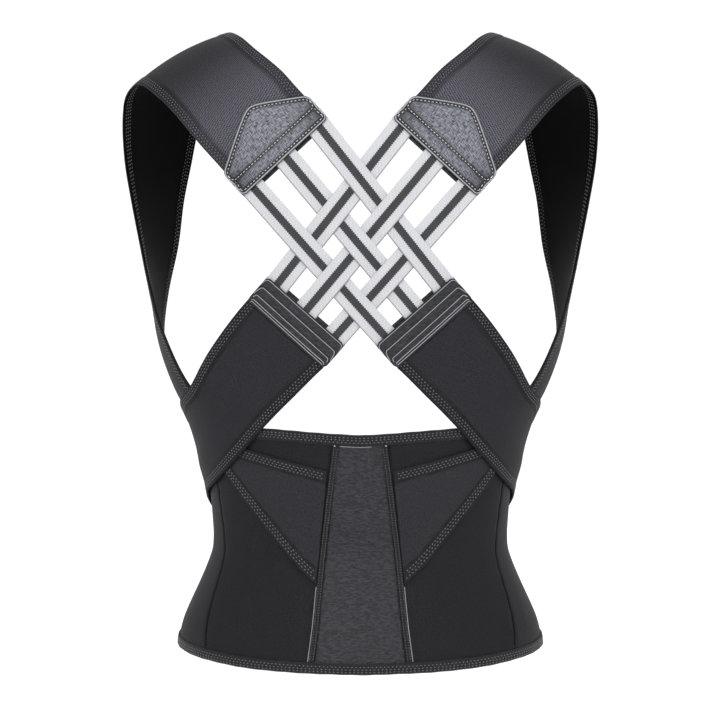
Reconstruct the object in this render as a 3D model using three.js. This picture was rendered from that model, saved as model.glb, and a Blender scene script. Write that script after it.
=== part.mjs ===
// A posture corrector: a soft back brace, built in the shape that it takes when it is worn.
//
// A waist band closes at the front with hook and loop. Two shoulder straps start at tabs on the
// shoulder blades, pass over the shoulders, come back under the arms and end on the band's top
// edge. Two cross straps start at tabs above the band and run round the sides to the front. Six
// flat elastics, woven over and under each other, join the upper tabs to the lower tabs.
//
// Millimetres, +Z up. The origin is on the wearer's axis at the waist, the wearer faces +Y, and
// the back of the brace faces -Y. Angles are degrees round that axis: 0 at the back centre, 90 at
// the +X side, 180 at the front centre. Lift is the distance outward from the wearer's surface.

import * as THREE from 'three';

// Wearer's form, measured on the inner face of the brace.
const waistWidth = 244;
const hemWidth = 304;
const chestWidth = 376;
const waistBackDepth = 90;
const hemBackDepth = 105;
const chestBackDepth = 113;
const waistFrontDepth = 88;
const hemFrontDepth = 103;
const chestFrontDepth = 110;
const hemDrop = 94;
const shoulderRise = 430;
const roundness = 2.25;

// Waist band.
const bandRise = 107;
const panelThickness = 2;
const bindingThickness = 0.8;
const bindingWidth = 9.5;
const seamTopOffset = 20.3;
const seamHemOffset = 40;
const channelWidth = 4.5;
const channelHeight = 1.9;
const wingThickness = 1.5;
const frontLap = 17;
const lapRamp = 9;

// Straps, tabs and elastics.
const strapThickness = 2.2;
const shoulderStrapWidth = 88;
const crossStrapWidth = 81;
const tabPlyThickness = 1.4;
const tabRibHeight = 0.7;
const tabRibs = 3;
const upperTabWidth = 92.4;
const upperTabSide = 25;
const upperTabPeak = 50;
const lowerTabWidth = 83;
const lowerTabLength = 25.5;
const tabCornerRadius = 4;
const tabPeakAside = 5;
const tabPeakDrop = 4;
const backPlyShow = 3;
const strapExit = 3;
const tabInsert = 11;
const elasticWidth = 20;
const elasticThickness = 1.2;
const elasticMargin = 0.35;

// Clearances between separate pieces.
const layerGap = 0.4;
const seamGap = 0.8;
const buttGap = 1;
const weaveSpare = 0.1;

// Lifts of the layers, each one seated on the one below with the same gap.
const panelLift = bindingThickness + layerGap;
const panelTop = panelLift + panelThickness;
const bindingTop = panelTop + layerGap + bindingThickness;
const trimLift = panelTop + layerGap;
const strapEndLift = bindingTop + layerGap;
const crossStrapLift = strapEndLift + strapThickness + layerGap;
const lapStep = bindingTop + layerGap;
const backPlyLift = layerGap;
const coreLift = backPlyLift + tabPlyThickness + layerGap;
const frontPlyLift = coreLift + strapThickness + layerGap;
const elasticLift = coreLift + strapThickness / 2;
const weaveLift = (elasticThickness + layerGap) / 2 + weaveSpare;

// Degrees from the back centre round to the front centre.
const halfTurn = 180;

// The wearer's form. Height is a share of hemDrop below the waist and of shoulderRise above it.
// Flare and deep run from 0 at the waist to 1 at the hem or at the chest.
const formRows = [
  { height: -1.15, flare: 1.02, deep: 1.1 },
  { height: -1, flare: 1, deep: 1 },
  { height: -0.84, flare: 0.97, deep: 0.86 },
  { height: -0.69, flare: 0.86, deep: 0.69 },
  { height: -0.53, flare: 0.65, deep: 0.5 },
  { height: -0.38, flare: 0.43, deep: 0.32 },
  { height: -0.22, flare: 0.21, deep: 0.15 },
  { height: -0.08, flare: 0.05, deep: 0.04 },
  { height: 0.01, flare: 0, deep: 0 },
  { height: 0.05, flare: 0.01, deep: 0.1 },
  { height: 0.105, flare: 0.04, deep: 0.24 },
  { height: 0.15, flare: 0.07, deep: 0.34 },
  { height: 0.2, flare: 0.125, deep: 0.43 },
  { height: 0.253, flare: 0.24, deep: 0.54 },
  { height: 0.3, flare: 0.41, deep: 0.64 },
  { height: 0.35, flare: 0.52, deep: 0.74 },
  { height: 0.414, flare: 0.62, deep: 0.85 },
  { height: 0.48, flare: 0.73, deep: 0.93 },
  { height: 0.593, flare: 0.91, deep: 1 },
  { height: 0.674, flare: 1, deep: 0.96 },
  { height: 0.8, flare: 1.03, deep: 0.82 },
  { height: 0.87, flare: 0.95, deep: 0.57 },
  { height: 0.93, flare: 0.82, deep: 0.1 },
  { height: 1, flare: 0.42, deep: -1.1 },
];

// The band's edges round the body. Top is a share of bandRise and hem a share of hemDrop.
const bandEdgeRows = [
  { angle: 0, top: 0.95, hem: 1 },
  { angle: 30, top: 0.99, hem: 0.98 },
  { angle: 60, top: 1, hem: 0.945 },
  { angle: 90, top: 0.97, hem: 0.93 },
  { angle: 110, top: 0.83, hem: 0.925 },
  { angle: 130, top: 0.63, hem: 0.92 },
  { angle: 150, top: 0.53, hem: 0.92 },
  { angle: 180, top: 0.51, hem: 0.92 },
  { angle: 210, top: 0.51, hem: 0.92 },
];

// The side seam between a back panel and a front wrap. Height is a share from hem to top edge.
const sideSeamRows = [
  { height: 0, angle: 53 },
  { height: 0.3, angle: 61 },
  { height: 0.6, angle: 65 },
  { height: 0.8, angle: 67 },
  { height: 1, angle: 68 },
];

// A wing's stations from the channel outward. Upper and lower heights are shares of bandRise,
// and out is the share of the way from the channel to the angle where the wing ends.
const wingEndAngle = 55;
const wingRows = [
  { out: 0, lower: -0.2, upper: 0.675 },
  { out: 0.25, lower: -0.02, upper: 0.73 },
  { out: 0.5, lower: 0.19, upper: 0.785 },
  { out: 0.75, lower: 0.4, upper: 0.83 },
  { out: 1, lower: 0.6, upper: 0.87 },
];

// A cross strap after its tab. Heights are shares of shoulderRise. The lifts run from 0, on the
// level of the strap in its tab, to 1, over the end of the shoulder strap. The strap climbs from
// its lower lift to its upper one within this share of its width.
const crossStrapClimb = 0.42;
const crossStrapRows = [
  { upperAngle: 43, upper: 0.402, upperLift: 0.6, lowerAngle: 18.5, lower: 0.303, lowerLift: 0.45 },
  { upperAngle: 57, upper: 0.324, upperLift: 1.12, lowerAngle: 29.5, lower: 0.252, lowerLift: 0.7 },
  { upperAngle: 72, upper: 0.29, upperLift: 1.17, lowerAngle: 45, lower: 0.188, lowerLift: 0.75 },
  { upperAngle: 88, upper: 0.256, upperLift: 1.17, lowerAngle: 62, lower: 0.138, lowerLift: 0.5 },
  { upperAngle: 106, upper: 0.21, upperLift: 1.06, lowerAngle: 83, lower: 0.1, lowerLift: 0.38 },
  { upperAngle: 125, upper: 0.152, upperLift: 0.7, lowerAngle: 108, lower: 0.042, lowerLift: 0.36 },
  { upperAngle: 139, upper: 0.1, upperLift: 0.4, lowerAngle: 129, lower: -0.012, lowerLift: 0.36 },
  { upperAngle: 147, upper: 0.068, upperLift: 0.36, lowerAngle: 142, lower: -0.046, lowerLift: 0.36 },
];

// The free part of a shoulder strap, from the shoulder blade round to the side. Across is a
// share of chestWidth, forward a share of the chest's two depths together and up a share of
// shoulderRise. Lean points across the strap, from the arm's side to the neck's side. Width is a
// share of shoulderStrapWidth, and bow the crown of the strap as a share of it. Over the shoulder
// the strap bows upward and outward, and elsewhere away from the wearer's axis.
const shoulderRows = [
  { across: -0.319, forward: -0.293, up: 0.904, lean: [0.82, 0.02, 0.57], width: 0.96, bow: 0.045 },
  { across: -0.358, forward: -0.19, up: 0.933, lean: [0.83, 0.12, 0.54], width: 0.97, bow: 0.06 },
  { across: -0.387, forward: -0.077, up: 0.945, lean: [0.81, 0.28, 0.51], width: 0.97, bow: 0.07 },
  { across: -0.408, forward: 0.04, up: 0.934, lean: [0.81, 0.44, 0.38], width: 0.97, bow: 0.07 },
  { across: -0.435, forward: 0.13, up: 0.893, lean: [0.83, 0.52, 0.2], width: 0.94, bow: 0.06 },
  { across: -0.455, forward: 0.202, up: 0.828, lean: [0.79, 0.61, -0.03], width: 0.88, bow: 0.05 },
  { across: -0.465, forward: 0.271, up: 0.75, lean: [0.71, 0.7, -0.04], width: 0.84, bow: 0.05 },
  { across: -0.468, forward: 0.318, up: 0.674, lean: [0.55, 0.84, 0], width: 0.83, bow: 0.05 },
  { across: -0.466, forward: 0.32, up: 0.587, lean: [0.37, 0.93, -0.07], width: 0.84, bow: 0.05 },
  { across: -0.468, forward: 0.25, up: 0.512, lean: [0.17, 0.94, -0.31], width: 0.87, bow: 0.03 },
  { across: -0.461, forward: 0.148, up: 0.444, lean: [0.05, 0.87, -0.5], width: 0.87, bow: 0.03 },
  { across: -0.441, forward: 0.036, up: 0.388, lean: [0.05, 0.8, -0.6], width: 0.87, bow: 0.04 },
];

const shoulderTop = shoulderRows[4].up;
const shoulderOutward = new THREE.Vector3(-0.3, 0, 0.7).normalize();

// The end of a shoulder strap on the band's top edge, heights as shares of shoulderRise.
const shoulderEndRows = [
  { armAngle: 66, arm: 0.355, neckAngle: 98, neck: 0.265, lift: 1 },
  { armAngle: 60, arm: 0.316, neckAngle: 92, neck: 0.222, lift: 1 },
  { armAngle: 53, arm: 0.272, neckAngle: 85, neck: 0.17, lift: 1 },
];

// The tabs on the back. Across is a share of chestWidth, up a share of shoulderRise, both to the
// middle of the edge that holds the elastics. Turn is the way the strap leaves, in degrees from
// the outward level line.
const upperTab = { across: -0.158, up: 0.756, turn: 47.5 };
const lowerTab = { across: -0.1147, up: 0.4712, turn: -48.5 };

const fabricBlack = { color: 0x2e2d31, roughness: 0.9, metalness: 0 };
const smoothBlack = { color: 0x25242a, roughness: 0.6, metalness: 0 };
const grainedGrey = { color: 0x4a4b55, roughness: 0.55, metalness: 0 };
const elasticWhite = { color: 0xe6e6ea, roughness: 0.85, metalness: 0 };

const lerp = THREE.MathUtils.lerp;
const radians = THREE.MathUtils.degToRad;

// A smooth curve through one column of a table, read at a value of its first column.
function readTable(rows, key, column, at) {
  const last = rows.length - 1;
  let i = 0;
  while (i < last - 1 && at > rows[i + 1][key]) i += 1;
  const slope = (a, b) => (rows[b][column] - rows[a][column]) / (rows[b][key] - rows[a][key]);
  const span = rows[i + 1][key] - rows[i][key];
  const t = (at - rows[i][key]) / span;
  const startSlope = slope(Math.max(i - 1, 0), i + 1) * span;
  const endSlope = slope(i, Math.min(i + 2, last)) * span;
  const start = rows[i][column];
  const end = rows[i + 1][column];
  return start * (1 + 2 * t) * (1 - t) ** 2 + startSlope * t * (1 - t) ** 2
    + end * t * t * (3 - 2 * t) + endSlope * t * t * (t - 1);
}

// Half width and depths of the wearer's form at a height.
function formAt(height) {
  const below = height < 0;
  const share = height / (below ? hemDrop : shoulderRise);
  const flare = readTable(formRows, 'height', 'flare', share);
  const deep = readTable(formRows, 'height', 'deep', share);
  return {
    half: lerp(waistWidth, below ? hemWidth : chestWidth, flare) / 2,
    back: lerp(waistBackDepth, below ? hemBackDepth : chestBackDepth, deep),
    front: lerp(waistFrontDepth, below ? hemFrontDepth : chestFrontDepth, deep),
  };
}

// A point of the form at an angle and height, lifted outward.
function formPoint(angle, height, lift) {
  const form = formAt(height);
  const side = Math.sin(radians(angle));
  const ahead = -Math.cos(radians(angle));
  const depth = ahead < 0 ? form.back : form.front;
  const bulge = (value) => Math.sign(value) * Math.abs(value) ** (2 / roundness);
  return new THREE.Vector3((form.half + lift) * bulge(side), (depth + lift) * bulge(ahead), height);
}

// The angle of the back of the form at a distance from the centre line.
function backAngle(across, height, lift) {
  const share = Math.min(Math.abs(across) / (formAt(height).half + lift), 1);
  return Math.sign(across) * THREE.MathUtils.radToDeg(Math.asin(share ** (roundness / 2)));
}

function backPoint(across, height, lift) {
  return formPoint(backAngle(across, height, lift), height, lift);
}

// A closed solid between two grids of points with the same rows and columns.
function shellGeometry(innerGrid, outerGrid) {
  const rowCount = innerGrid.length;
  const columnCount = innerGrid[0].length;
  const points = [...innerGrid.flat(), ...outerGrid.flat()];
  const inner = (i, j) => i * columnCount + j;
  const outer = (i, j) => rowCount * columnCount + i * columnCount + j;
  const faces = [];
  const quad = (a, b, c, d) => faces.push(a, b, c, a, c, d);
  for (let i = 0; i + 1 < rowCount; i += 1) {
    for (let j = 0; j + 1 < columnCount; j += 1) {
      quad(outer(i, j), outer(i, j + 1), outer(i + 1, j + 1), outer(i + 1, j));
      quad(inner(i, j), inner(i + 1, j), inner(i + 1, j + 1), inner(i, j + 1));
    }
    quad(outer(i, 0), outer(i + 1, 0), inner(i + 1, 0), inner(i, 0));
    const j = columnCount - 1;
    quad(outer(i, j), inner(i, j), inner(i + 1, j), outer(i + 1, j));
  }
  for (let j = 0; j + 1 < columnCount; j += 1) {
    quad(outer(0, j), inner(0, j), inner(0, j + 1), outer(0, j + 1));
    const i = rowCount - 1;
    quad(outer(i, j), outer(i, j + 1), inner(i, j + 1), inner(i, j));
  }
  return solidGeometry(points, faces);
}

// Triangles that all point outward, whichever way round they were listed.
function solidGeometry(points, faces) {
  let volume = 0;
  for (let i = 0; i < faces.length; i += 3) {
    const [a, b, c] = [points[faces[i]], points[faces[i + 1]], points[faces[i + 2]]];
    volume += a.dot(b.clone().cross(c));
  }
  const outward = volume > 0 ? faces : faces.slice().reverse();
  const geometry = new THREE.BufferGeometry();
  const places = points.flatMap((point) => point.toArray());
  geometry.setAttribute('position', new THREE.Float32BufferAttribute(places, 3));
  geometry.setIndex(outward);
  geometry.computeVertexNormals();
  return geometry;
}

// A sheet of cloth: place(u, v, outer) gives its inner or outer face.
function sheetGeometry(place, rows, columns) {
  const grid = (outer) => rows.map((u) => columns.map((v) => place(u, v, outer)));
  return shellGeometry(grid(0), grid(1));
}

// The same geometry on the other side of the centre plane.
function mirrored(geometry) {
  const copy = geometry.clone();
  copy.scale(-1, 1, 1);
  copy.setIndex(Array.from(copy.index.array).reverse());
  copy.computeVertexNormals();
  return copy;
}

function steps(count) {
  return Array.from({ length: count + 1 }, (_, i) => i / count);
}

const brace = new THREE.Group();

function addPiece(name, geometry, finish) {
  const mesh = new THREE.Mesh(geometry, new THREE.MeshStandardMaterial(finish));
  mesh.name = name;
  brace.add(mesh);
}

function addPair(name, geometry, finish) {
  addPiece(`${name}_left`, geometry, finish);
  addPiece(`${name}_right`, mirrored(geometry), finish);
}

// Heights of the band's edges at an angle, and the step of the end that laps over the other.
function topEdge(angle) {
  return bandRise * readTable(bandEdgeRows, 'angle', 'top', Math.abs(angle));
}

function hemEdge(angle) {
  return -hemDrop * readTable(bandEdgeRows, 'angle', 'hem', Math.abs(angle));
}

function lapLift(angle) {
  const rampEnd = halfTurn - frontLap - buttGap;
  return lapStep * THREE.MathUtils.smoothstep(-angle, rampEnd - lapRamp, rampEnd);
}

// The angle of the line along which a channel runs, at a share of the height from hem to top.
function centreSeamAngle(share) {
  const height = lerp(-hemDrop, bandRise, share);
  return backAngle(lerp(seamHemOffset, seamTopOffset, share), height, panelTop);
}

function sideSeamAngle(share) {
  return readTable(sideSeamRows, 'height', 'angle', share);
}

// The height at a share of the way from the panel's lower edge to its upper edge.
function bandHeight(angle, share) {
  const edge = bindingThickness + layerGap;
  return lerp(hemEdge(angle) + edge, topEdge(angle) - edge, share);
}

// Degrees that a seam gap takes at the band's radius.
const seamGapAngle = THREE.MathUtils.radToDeg(seamGap / (waistWidth / 2));

// Rows of a panel: even steps, and one at each binding's edge.
function bandRows(count) {
  const edge = (bindingWidth - bindingThickness - layerGap) / (bandRise + hemDrop);
  return [0, ...steps(count).map((t) => lerp(edge, 1 - edge, t)), 1];
}

// A panel of the band between two lines of angles.
function bandPanel(fromAngle, toAngle, rowCount, columnCount) {
  return sheetGeometry((v, u, outer) => {
    const angle = lerp(fromAngle(v), toAngle(v), u);
    const lift = panelLift + lapLift(angle) + outer * panelThickness;
    return formPoint(angle, bandHeight(angle, v), lift);
  }, bandRows(rowCount), steps(columnCount));
}

addPiece('back_center_panel', bandPanel(
  (v) => -centreSeamAngle(v) + seamGapAngle / 2,
  (v) => centreSeamAngle(v) - seamGapAngle / 2,
  12, 4), smoothBlack);

const backPanel = bandPanel(
  (v) => -sideSeamAngle(v) + seamGapAngle / 2,
  (v) => -centreSeamAngle(v) - seamGapAngle / 2,
  12, 7);
addPair('waist_back', backPanel, fabricBlack);

// The front wraps. Past the seam's columns they share the angles of the bindings' stations.
const wrapEnd = halfTurn + frontLap;
const wrapStart = 76;
const wrapAngles = steps(16).map((t) => lerp(wrapStart, wrapEnd, t));

function frontWrap(side) {
  const seam = (v) => sideSeamAngle(v) + seamGapAngle / 2;
  const seamColumns = [0, 0.4, 0.75].map((t) => (v) => lerp(seam(v), wrapStart, t));
  const columns = [...seamColumns, ...wrapAngles.map((angle) => () => angle)];
  return sheetGeometry((v, angleAt, outer) => {
    const angle = side * angleAt(v);
    const lift = panelLift + lapLift(angle) + outer * panelThickness;
    return formPoint(angle, bandHeight(angle, v), lift);
  }, bandRows(7), columns);
}

addPiece('front_wrap_left', frontWrap(-1), fabricBlack);
addPiece('front_wrap_right', frontWrap(1), fabricBlack);

// A binding folded over one edge of the band. Its section is an upside-down U for the top.
function bindingGeometry(edgeHeight, inward) {
  const fold = bindingThickness;
  const section = [
    [bindingTop, bindingWidth], [bindingTop, 0], [0, 0], [0, bindingWidth],
    [fold, bindingWidth], [fold, fold], [bindingTop - fold, fold], [bindingTop - fold, bindingWidth],
  ];
  const outline = section.map(([lift, reach]) => new THREE.Vector2(lift, reach));
  const backAngles = steps(20).slice(1, -1).map((t) => lerp(-wrapStart, wrapStart, t));
  const stations = [...wrapAngles.map((angle) => -angle).reverse(), ...backAngles, ...wrapAngles];
  const points = stations.flatMap((angle) => section.map(([lift, reach]) =>
    formPoint(angle, edgeHeight(angle) + inward * reach, lift + lapLift(angle))));
  const faces = [];
  const count = section.length;
  for (let i = 0; i + 1 < stations.length; i += 1) {
    for (let j = 0; j < count; j += 1) {
      const k = (j + 1) % count;
      const [a, b, c, d] = [i * count + j, i * count + k, (i + 1) * count + k, (i + 1) * count + j];
      faces.push(a, b, c, a, c, d);
    }
  }
  const capAt = (stations.length - 1) * count;
  const clockwise = THREE.ShapeUtils.isClockWise(outline);
  for (const [a, b, c] of THREE.ShapeUtils.triangulateShape(outline, [])) {
    const near = clockwise ? [a, b, c] : [a, c, b];
    faces.push(...near, ...near.slice().reverse().map((index) => capAt + index));
  }
  return solidGeometry(points, faces);
}

addPiece('top_binding', bindingGeometry(topEdge, -1), smoothBlack);
addPiece('bottom_binding', bindingGeometry(hemEdge, 1), smoothBlack);

// The raised channels along the seams of the centre panel, each with a flat spine inside it.
function channelGeometry() {
  const profile = [0, 0.22, 0.78, 1];
  const edgeShare = 0.45;
  const endGap = bindingWidth + layerGap;
  return sheetGeometry((t, v, outer) => {
    const seam = -centreSeamAngle(t);
    const height = lerp(hemEdge(seam) + endGap, topEdge(seam) - endGap, t);
    const across = formPoint(seam, height, trimLift).x + (v - 0.5) * channelWidth;
    const crown = v > 0 && v < 1 ? channelHeight : channelHeight * edgeShare;
    return backPoint(across, height, trimLift + outer * crown);
  }, steps(14), profile);
}

addPair('channel', channelGeometry(), smoothBlack);

// A wing laid over each back panel, from the channel to under the cross strap.
function wingGeometry() {
  const startGap = channelWidth / 2 + layerGap;
  return sheetGeometry((u, v, outer) => {
    const lower = bandRise * readTable(wingRows, 'out', 'lower', u);
    const upper = bandRise * readTable(wingRows, 'out', 'upper', u);
    const height = lerp(lower, upper, v);
    const share = (height + hemDrop) / (bandRise + hemDrop);
    const seam = formPoint(-centreSeamAngle(share), height, trimLift).x - startGap;
    const angle = lerp(backAngle(seam, height, trimLift), -wingEndAngle, u);
    return formPoint(angle, height, trimLift + outer * wingThickness);
  }, steps(7), steps(5));
}

addPair('wing', wingGeometry(), fabricBlack);

// A tab's own frame on the back: along its elastic edge and out towards its strap.
function tabFrame(tab) {
  const turn = radians(tab.turn);
  const centre = { across: tab.across * chestWidth, up: tab.up * shoulderRise };
  const out = { across: -Math.cos(turn), up: Math.sin(turn) };
  const along = { across: Math.abs(out.up), up: Math.sign(tab.turn) * Math.cos(turn) };
  return (side, reach) => ({
    across: centre.across + side * along.across + reach * out.across,
    up: centre.up + side * along.up + reach * out.up,
  });
}

const upperTabAt = tabFrame(upperTab);
const lowerTabAt = tabFrame(lowerTab);

// How far a round corner pulls an edge in, at a distance from the side of the tab.
function cornerPull(distance, radius) {
  if (distance >= radius) return 0;
  return radius - Math.sqrt(radius ** 2 - (radius - distance) ** 2);
}

// The reach of the upper tab's far edge: two slopes that meet in a round peak, a little aside of
// the middle. The apex is where the slopes would meet if they ran on.
function peakReach(side) {
  const away = side - tabPeakAside;
  const foot = upperTabWidth / 2 - Math.sign(away) * tabPeakAside;
  const apex = upperTabPeak + tabPeakDrop;
  const slope = Math.sqrt((apex - upperTabSide) ** 2 - tabPeakDrop ** 2) / foot;
  return apex - Math.hypot(slope * away, tabPeakDrop);
}

// A ply of a tab. Columns crowd at the round corners, and the middle one meets the peak. Extra
// lets the back ply show.
function tabPly(at, width, reachAt, lift, extra, peakAt, ribs) {
  const half = width / 2;
  const corner = tabCornerRadius;
  const columns = [0, corner * 0.12, corner * 0.45, corner].map((d) => d - half);
  const middle = steps(ribs ? 4 : 6).slice(1, -1).map((t) => (
    t < 0.5 ? lerp(corner - half, peakAt, 2 * t) : lerp(peakAt, half - corner, 2 * t - 1)));
  const sides = [...columns, ...middle, ...columns.map((side) => -side).reverse()];
  const rows = ribs ? steps(9) : steps(4);
  return sheetGeometry((side, t, outer) => {
    const pull = cornerPull(half - Math.abs(side), corner);
    const spot = at(side, lerp(pull - extra, reachAt(side) - pull, t));
    const rib = ribs ? tabRibHeight * Math.abs(Math.sin(Math.PI * tabRibs * t)) : 0;
    return backPoint(spot.across, spot.up, lift + outer * (tabPlyThickness + rib));
  }, sides, rows);
}

const lowerReach = () => lowerTabLength;
const upperPly = (lift, extra) => (
  tabPly(upperTabAt, upperTabWidth, peakReach, lift, extra, tabPeakAside, false));
const lowerPly = (lift, extra, ribs) => (
  tabPly(lowerTabAt, lowerTabWidth, lowerReach, lift, extra, 0, ribs));
addPair('upper_tab_front', upperPly(frontPlyLift, 0), grainedGrey);
addPair('upper_tab_back', upperPly(backPlyLift, backPlyShow), smoothBlack);
addPair('lower_tab_front', lowerPly(frontPlyLift, 0, true), smoothBlack);
addPair('lower_tab_back', lowerPly(backPlyLift, backPlyShow, false), smoothBlack);

// A cross strap: from inside the lower tab, over the band's edge and round the side.
function crossStrapGeometry() {
  const start = tabInsert + buttGap;
  const tabRow = (reach) => {
    const upper = lowerTabAt(-crossStrapWidth / 2, reach);
    const lower = lowerTabAt(crossStrapWidth / 2, reach);
    const angleOf = (spot) => -backAngle(spot.across, spot.up, coreLift);
    return {
      upperAngle: angleOf(upper), upper: upper.up / shoulderRise, upperLift: 0,
      lowerAngle: angleOf(lower), lower: lower.up / shoulderRise, lowerLift: 0,
    };
  };
  const middle = (start + lowerTabLength) / 2;
  const inTab = [start, middle, lowerTabLength, lowerTabLength + strapExit].map(tabRow);
  const rows = [...inTab, ...crossStrapRows].map((row, place) => ({ ...row, place }));
  const hidden = inTab.length - 1;
  const stations = rows.slice(0, -1).flatMap(({ place }) => (
    place < hidden ? [place] : [place, place + 1 / 3, place + 2 / 3]));
  stations.push(rows.length - 1);
  const read = (column, place) => readTable(rows, 'place', column, place);
  return sheetGeometry((place, v, outer) => {
    const angle = lerp(read('lowerAngle', place), read('upperAngle', place), v);
    const height = shoulderRise * lerp(read('lower', place), read('upper', place), v);
    const climb = THREE.MathUtils.smoothstep(v, 0, crossStrapClimb);
    const rise = lerp(read('lowerLift', place), read('upperLift', place), climb);
    const lift = lerp(coreLift, crossStrapLift, rise);
    return formPoint(-angle, height, lift + outer * strapThickness);
  }, stations, steps(5));
}

addPair('cross_strap', crossStrapGeometry(), fabricBlack);

// A shoulder strap: from inside the upper tab, over the shoulder and back under the arm.
function shoulderStrapGeometry() {
  const columns = steps(5);
  const half = shoulderStrapWidth / 2;
  const tabRow = (reach) => columns.map((v) => {
    const spot = upperTabAt(lerp(-half, half, v), reach);
    return backPoint(spot.across, spot.up, coreLift);
  });
  const freeRow = (row) => columns.map((v) => {
    const centre = new THREE.Vector3(
      row.across * chestWidth, row.forward * (chestBackDepth + chestFrontDepth), row.up * shoulderRise);
    const lean = new THREE.Vector3(...row.lean).normalize();
    const crown = row.bow * shoulderStrapWidth * (1 - (2 * v - 1) ** 2);
    const aside = new THREE.Vector3(centre.x, centre.y, 0).normalize();
    const outward = row.up > shoulderTop ? shoulderOutward.clone() : aside;
    outward.addScaledVector(lean, -outward.dot(lean)).normalize();
    const slide = (v - 0.5) * row.width * shoulderStrapWidth;
    return centre.addScaledVector(lean, slide).addScaledVector(outward, crown);
  });
  const endRow = (row) => columns.map((v) => formPoint(
    -lerp(row.armAngle, row.neckAngle, v), shoulderRise * lerp(row.arm, row.neck, v), strapEndLift));
  const start = tabInsert + buttGap;
  const rows = [
    ...[start, upperTabSide, (upperTabSide + upperTabPeak) / 2, upperTabPeak + strapExit].map(tabRow),
    ...shoulderRows.map(freeRow),
    ...shoulderEndRows.map(endRow),
  ];
  const stations = rows.flatMap((_, i) => (i < 3 || i === rows.length - 1 ? [i] : [i, i + 0.5]));
  const curves = columns.map((_, j) => (
    new THREE.CatmullRomCurve3(rows.map((row) => row[j]), false, 'centripetal')));
  const inner = stations.map((place) => curves.map((curve) => curve.getPoint(place / (rows.length - 1))));
  const outer = inner.map((row, i) => row.map((point, j) => {
    const along = inner[Math.min(i + 1, inner.length - 1)][j].clone().sub(inner[Math.max(i - 1, 0)][j]);
    const over = row[Math.min(j + 1, row.length - 1)].clone().sub(row[Math.max(j - 1, 0)]);
    return point.clone().addScaledVector(over.cross(along).normalize(), strapThickness);
  }));
  return shellGeometry(inner, outer);
}

addPair('shoulder_strap', shoulderStrapGeometry(), fabricBlack);

// The elastics. Each one runs from an upper tab to the lower tab across the back, and is over or
// under the ones that it crosses by turns.
const upperPitch = (upperTabWidth - elasticWidth) / 2 - elasticMargin;
const lowerPitch = (lowerTabWidth - elasticWidth) / 2 - elasticMargin;

function elasticLine(number) {
  const place = 2 - number;
  const start = upperTabAt(place * upperPitch, 0);
  const end = lowerTabAt(-place * lowerPitch, 0);
  const line = { x: start.across, z: start.up, dx: -end.across - start.across, dz: end.up - start.up };
  line.length = Math.hypot(line.dx, line.dz);
  line.dx /= line.length;
  line.dz /= line.length;
  return line;
}

// Distance along one elastic to where the mirrored one with another number crosses it.
function crossingAt(line, other) {
  const across = -other.x - line.x;
  const up = other.z - line.z;
  const turn = line.dx * other.dz + line.dz * other.dx;
  return (across * other.dz + up * other.dx) / turn;
}

function elasticGeometry(number, evenOver) {
  const line = elasticLine(number);
  const crossings = [1, 2, 3].map((other) => {
    const match = elasticLine(other);
    const sine = Math.abs(line.dx * match.dz + line.dz * match.dx);
    const cosine = Math.abs(line.dz * match.dz - line.dx * match.dx);
    const over = ((number + other) % 2 === 0) === evenOver;
    const halfFlat = (elasticWidth / 2) * (1 + cosine) / sine + layerGap;
    return { at: crossingAt(line, match), halfFlat, lift: over ? weaveLift : -weaveLift };
  }).sort((a, b) => a.at - b.at);
  const marks = [
    { at: -tabInsert, lift: 0 },
    { at: backPlyShow, lift: 0 },
    ...crossings.flatMap(({ at, halfFlat, lift }) => [
      { at: at - halfFlat, lift }, { at: at + halfFlat, lift },
    ]),
    { at: line.length - backPlyShow, lift: 0 },
    { at: line.length + tabInsert, lift: 0 },
  ];
  const stations = marks.slice(0, -1).flatMap((mark, i) => {
    const next = marks[i + 1];
    const count = Math.max(2, Math.ceil((next.at - mark.at) / elasticWidth));
    return steps(count).slice(0, -1).map((t) => ({
      at: lerp(mark.at, next.at, t), lift: lerp(mark.lift, next.lift, THREE.MathUtils.smoothstep(t, 0, 1)),
    }));
  });
  stations.push(marks[marks.length - 1]);
  return sheetGeometry((station, v, outer) => {
    const side = (v - 0.5) * elasticWidth;
    const across = line.x + line.dx * station.at - line.dz * side;
    const height = line.z + line.dz * station.at + line.dx * side;
    return backPoint(across, height, elasticLift + station.lift + (outer - 0.5) * elasticThickness);
  }, stations, steps(1));
}

for (const number of [1, 2, 3]) {
  addPiece(`elastic_left_${number}`, elasticGeometry(number, true), elasticWhite);
  addPiece(`elastic_right_${number}`, mirrored(elasticGeometry(number, false)), elasticWhite);
}

export default brace;
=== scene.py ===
# %% [markdown]
# # A posture corrector, seen from behind
#
# The brace is soft goods: knitted cloth, leatherette, tape and woven elastic, sewn together and
# shown in the shape that it takes on a wearer. The solid model fixes where every piece lies. This
# lesson replaces each solid with cloth that has round edges, hems, seams, stitches and a weave.

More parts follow.
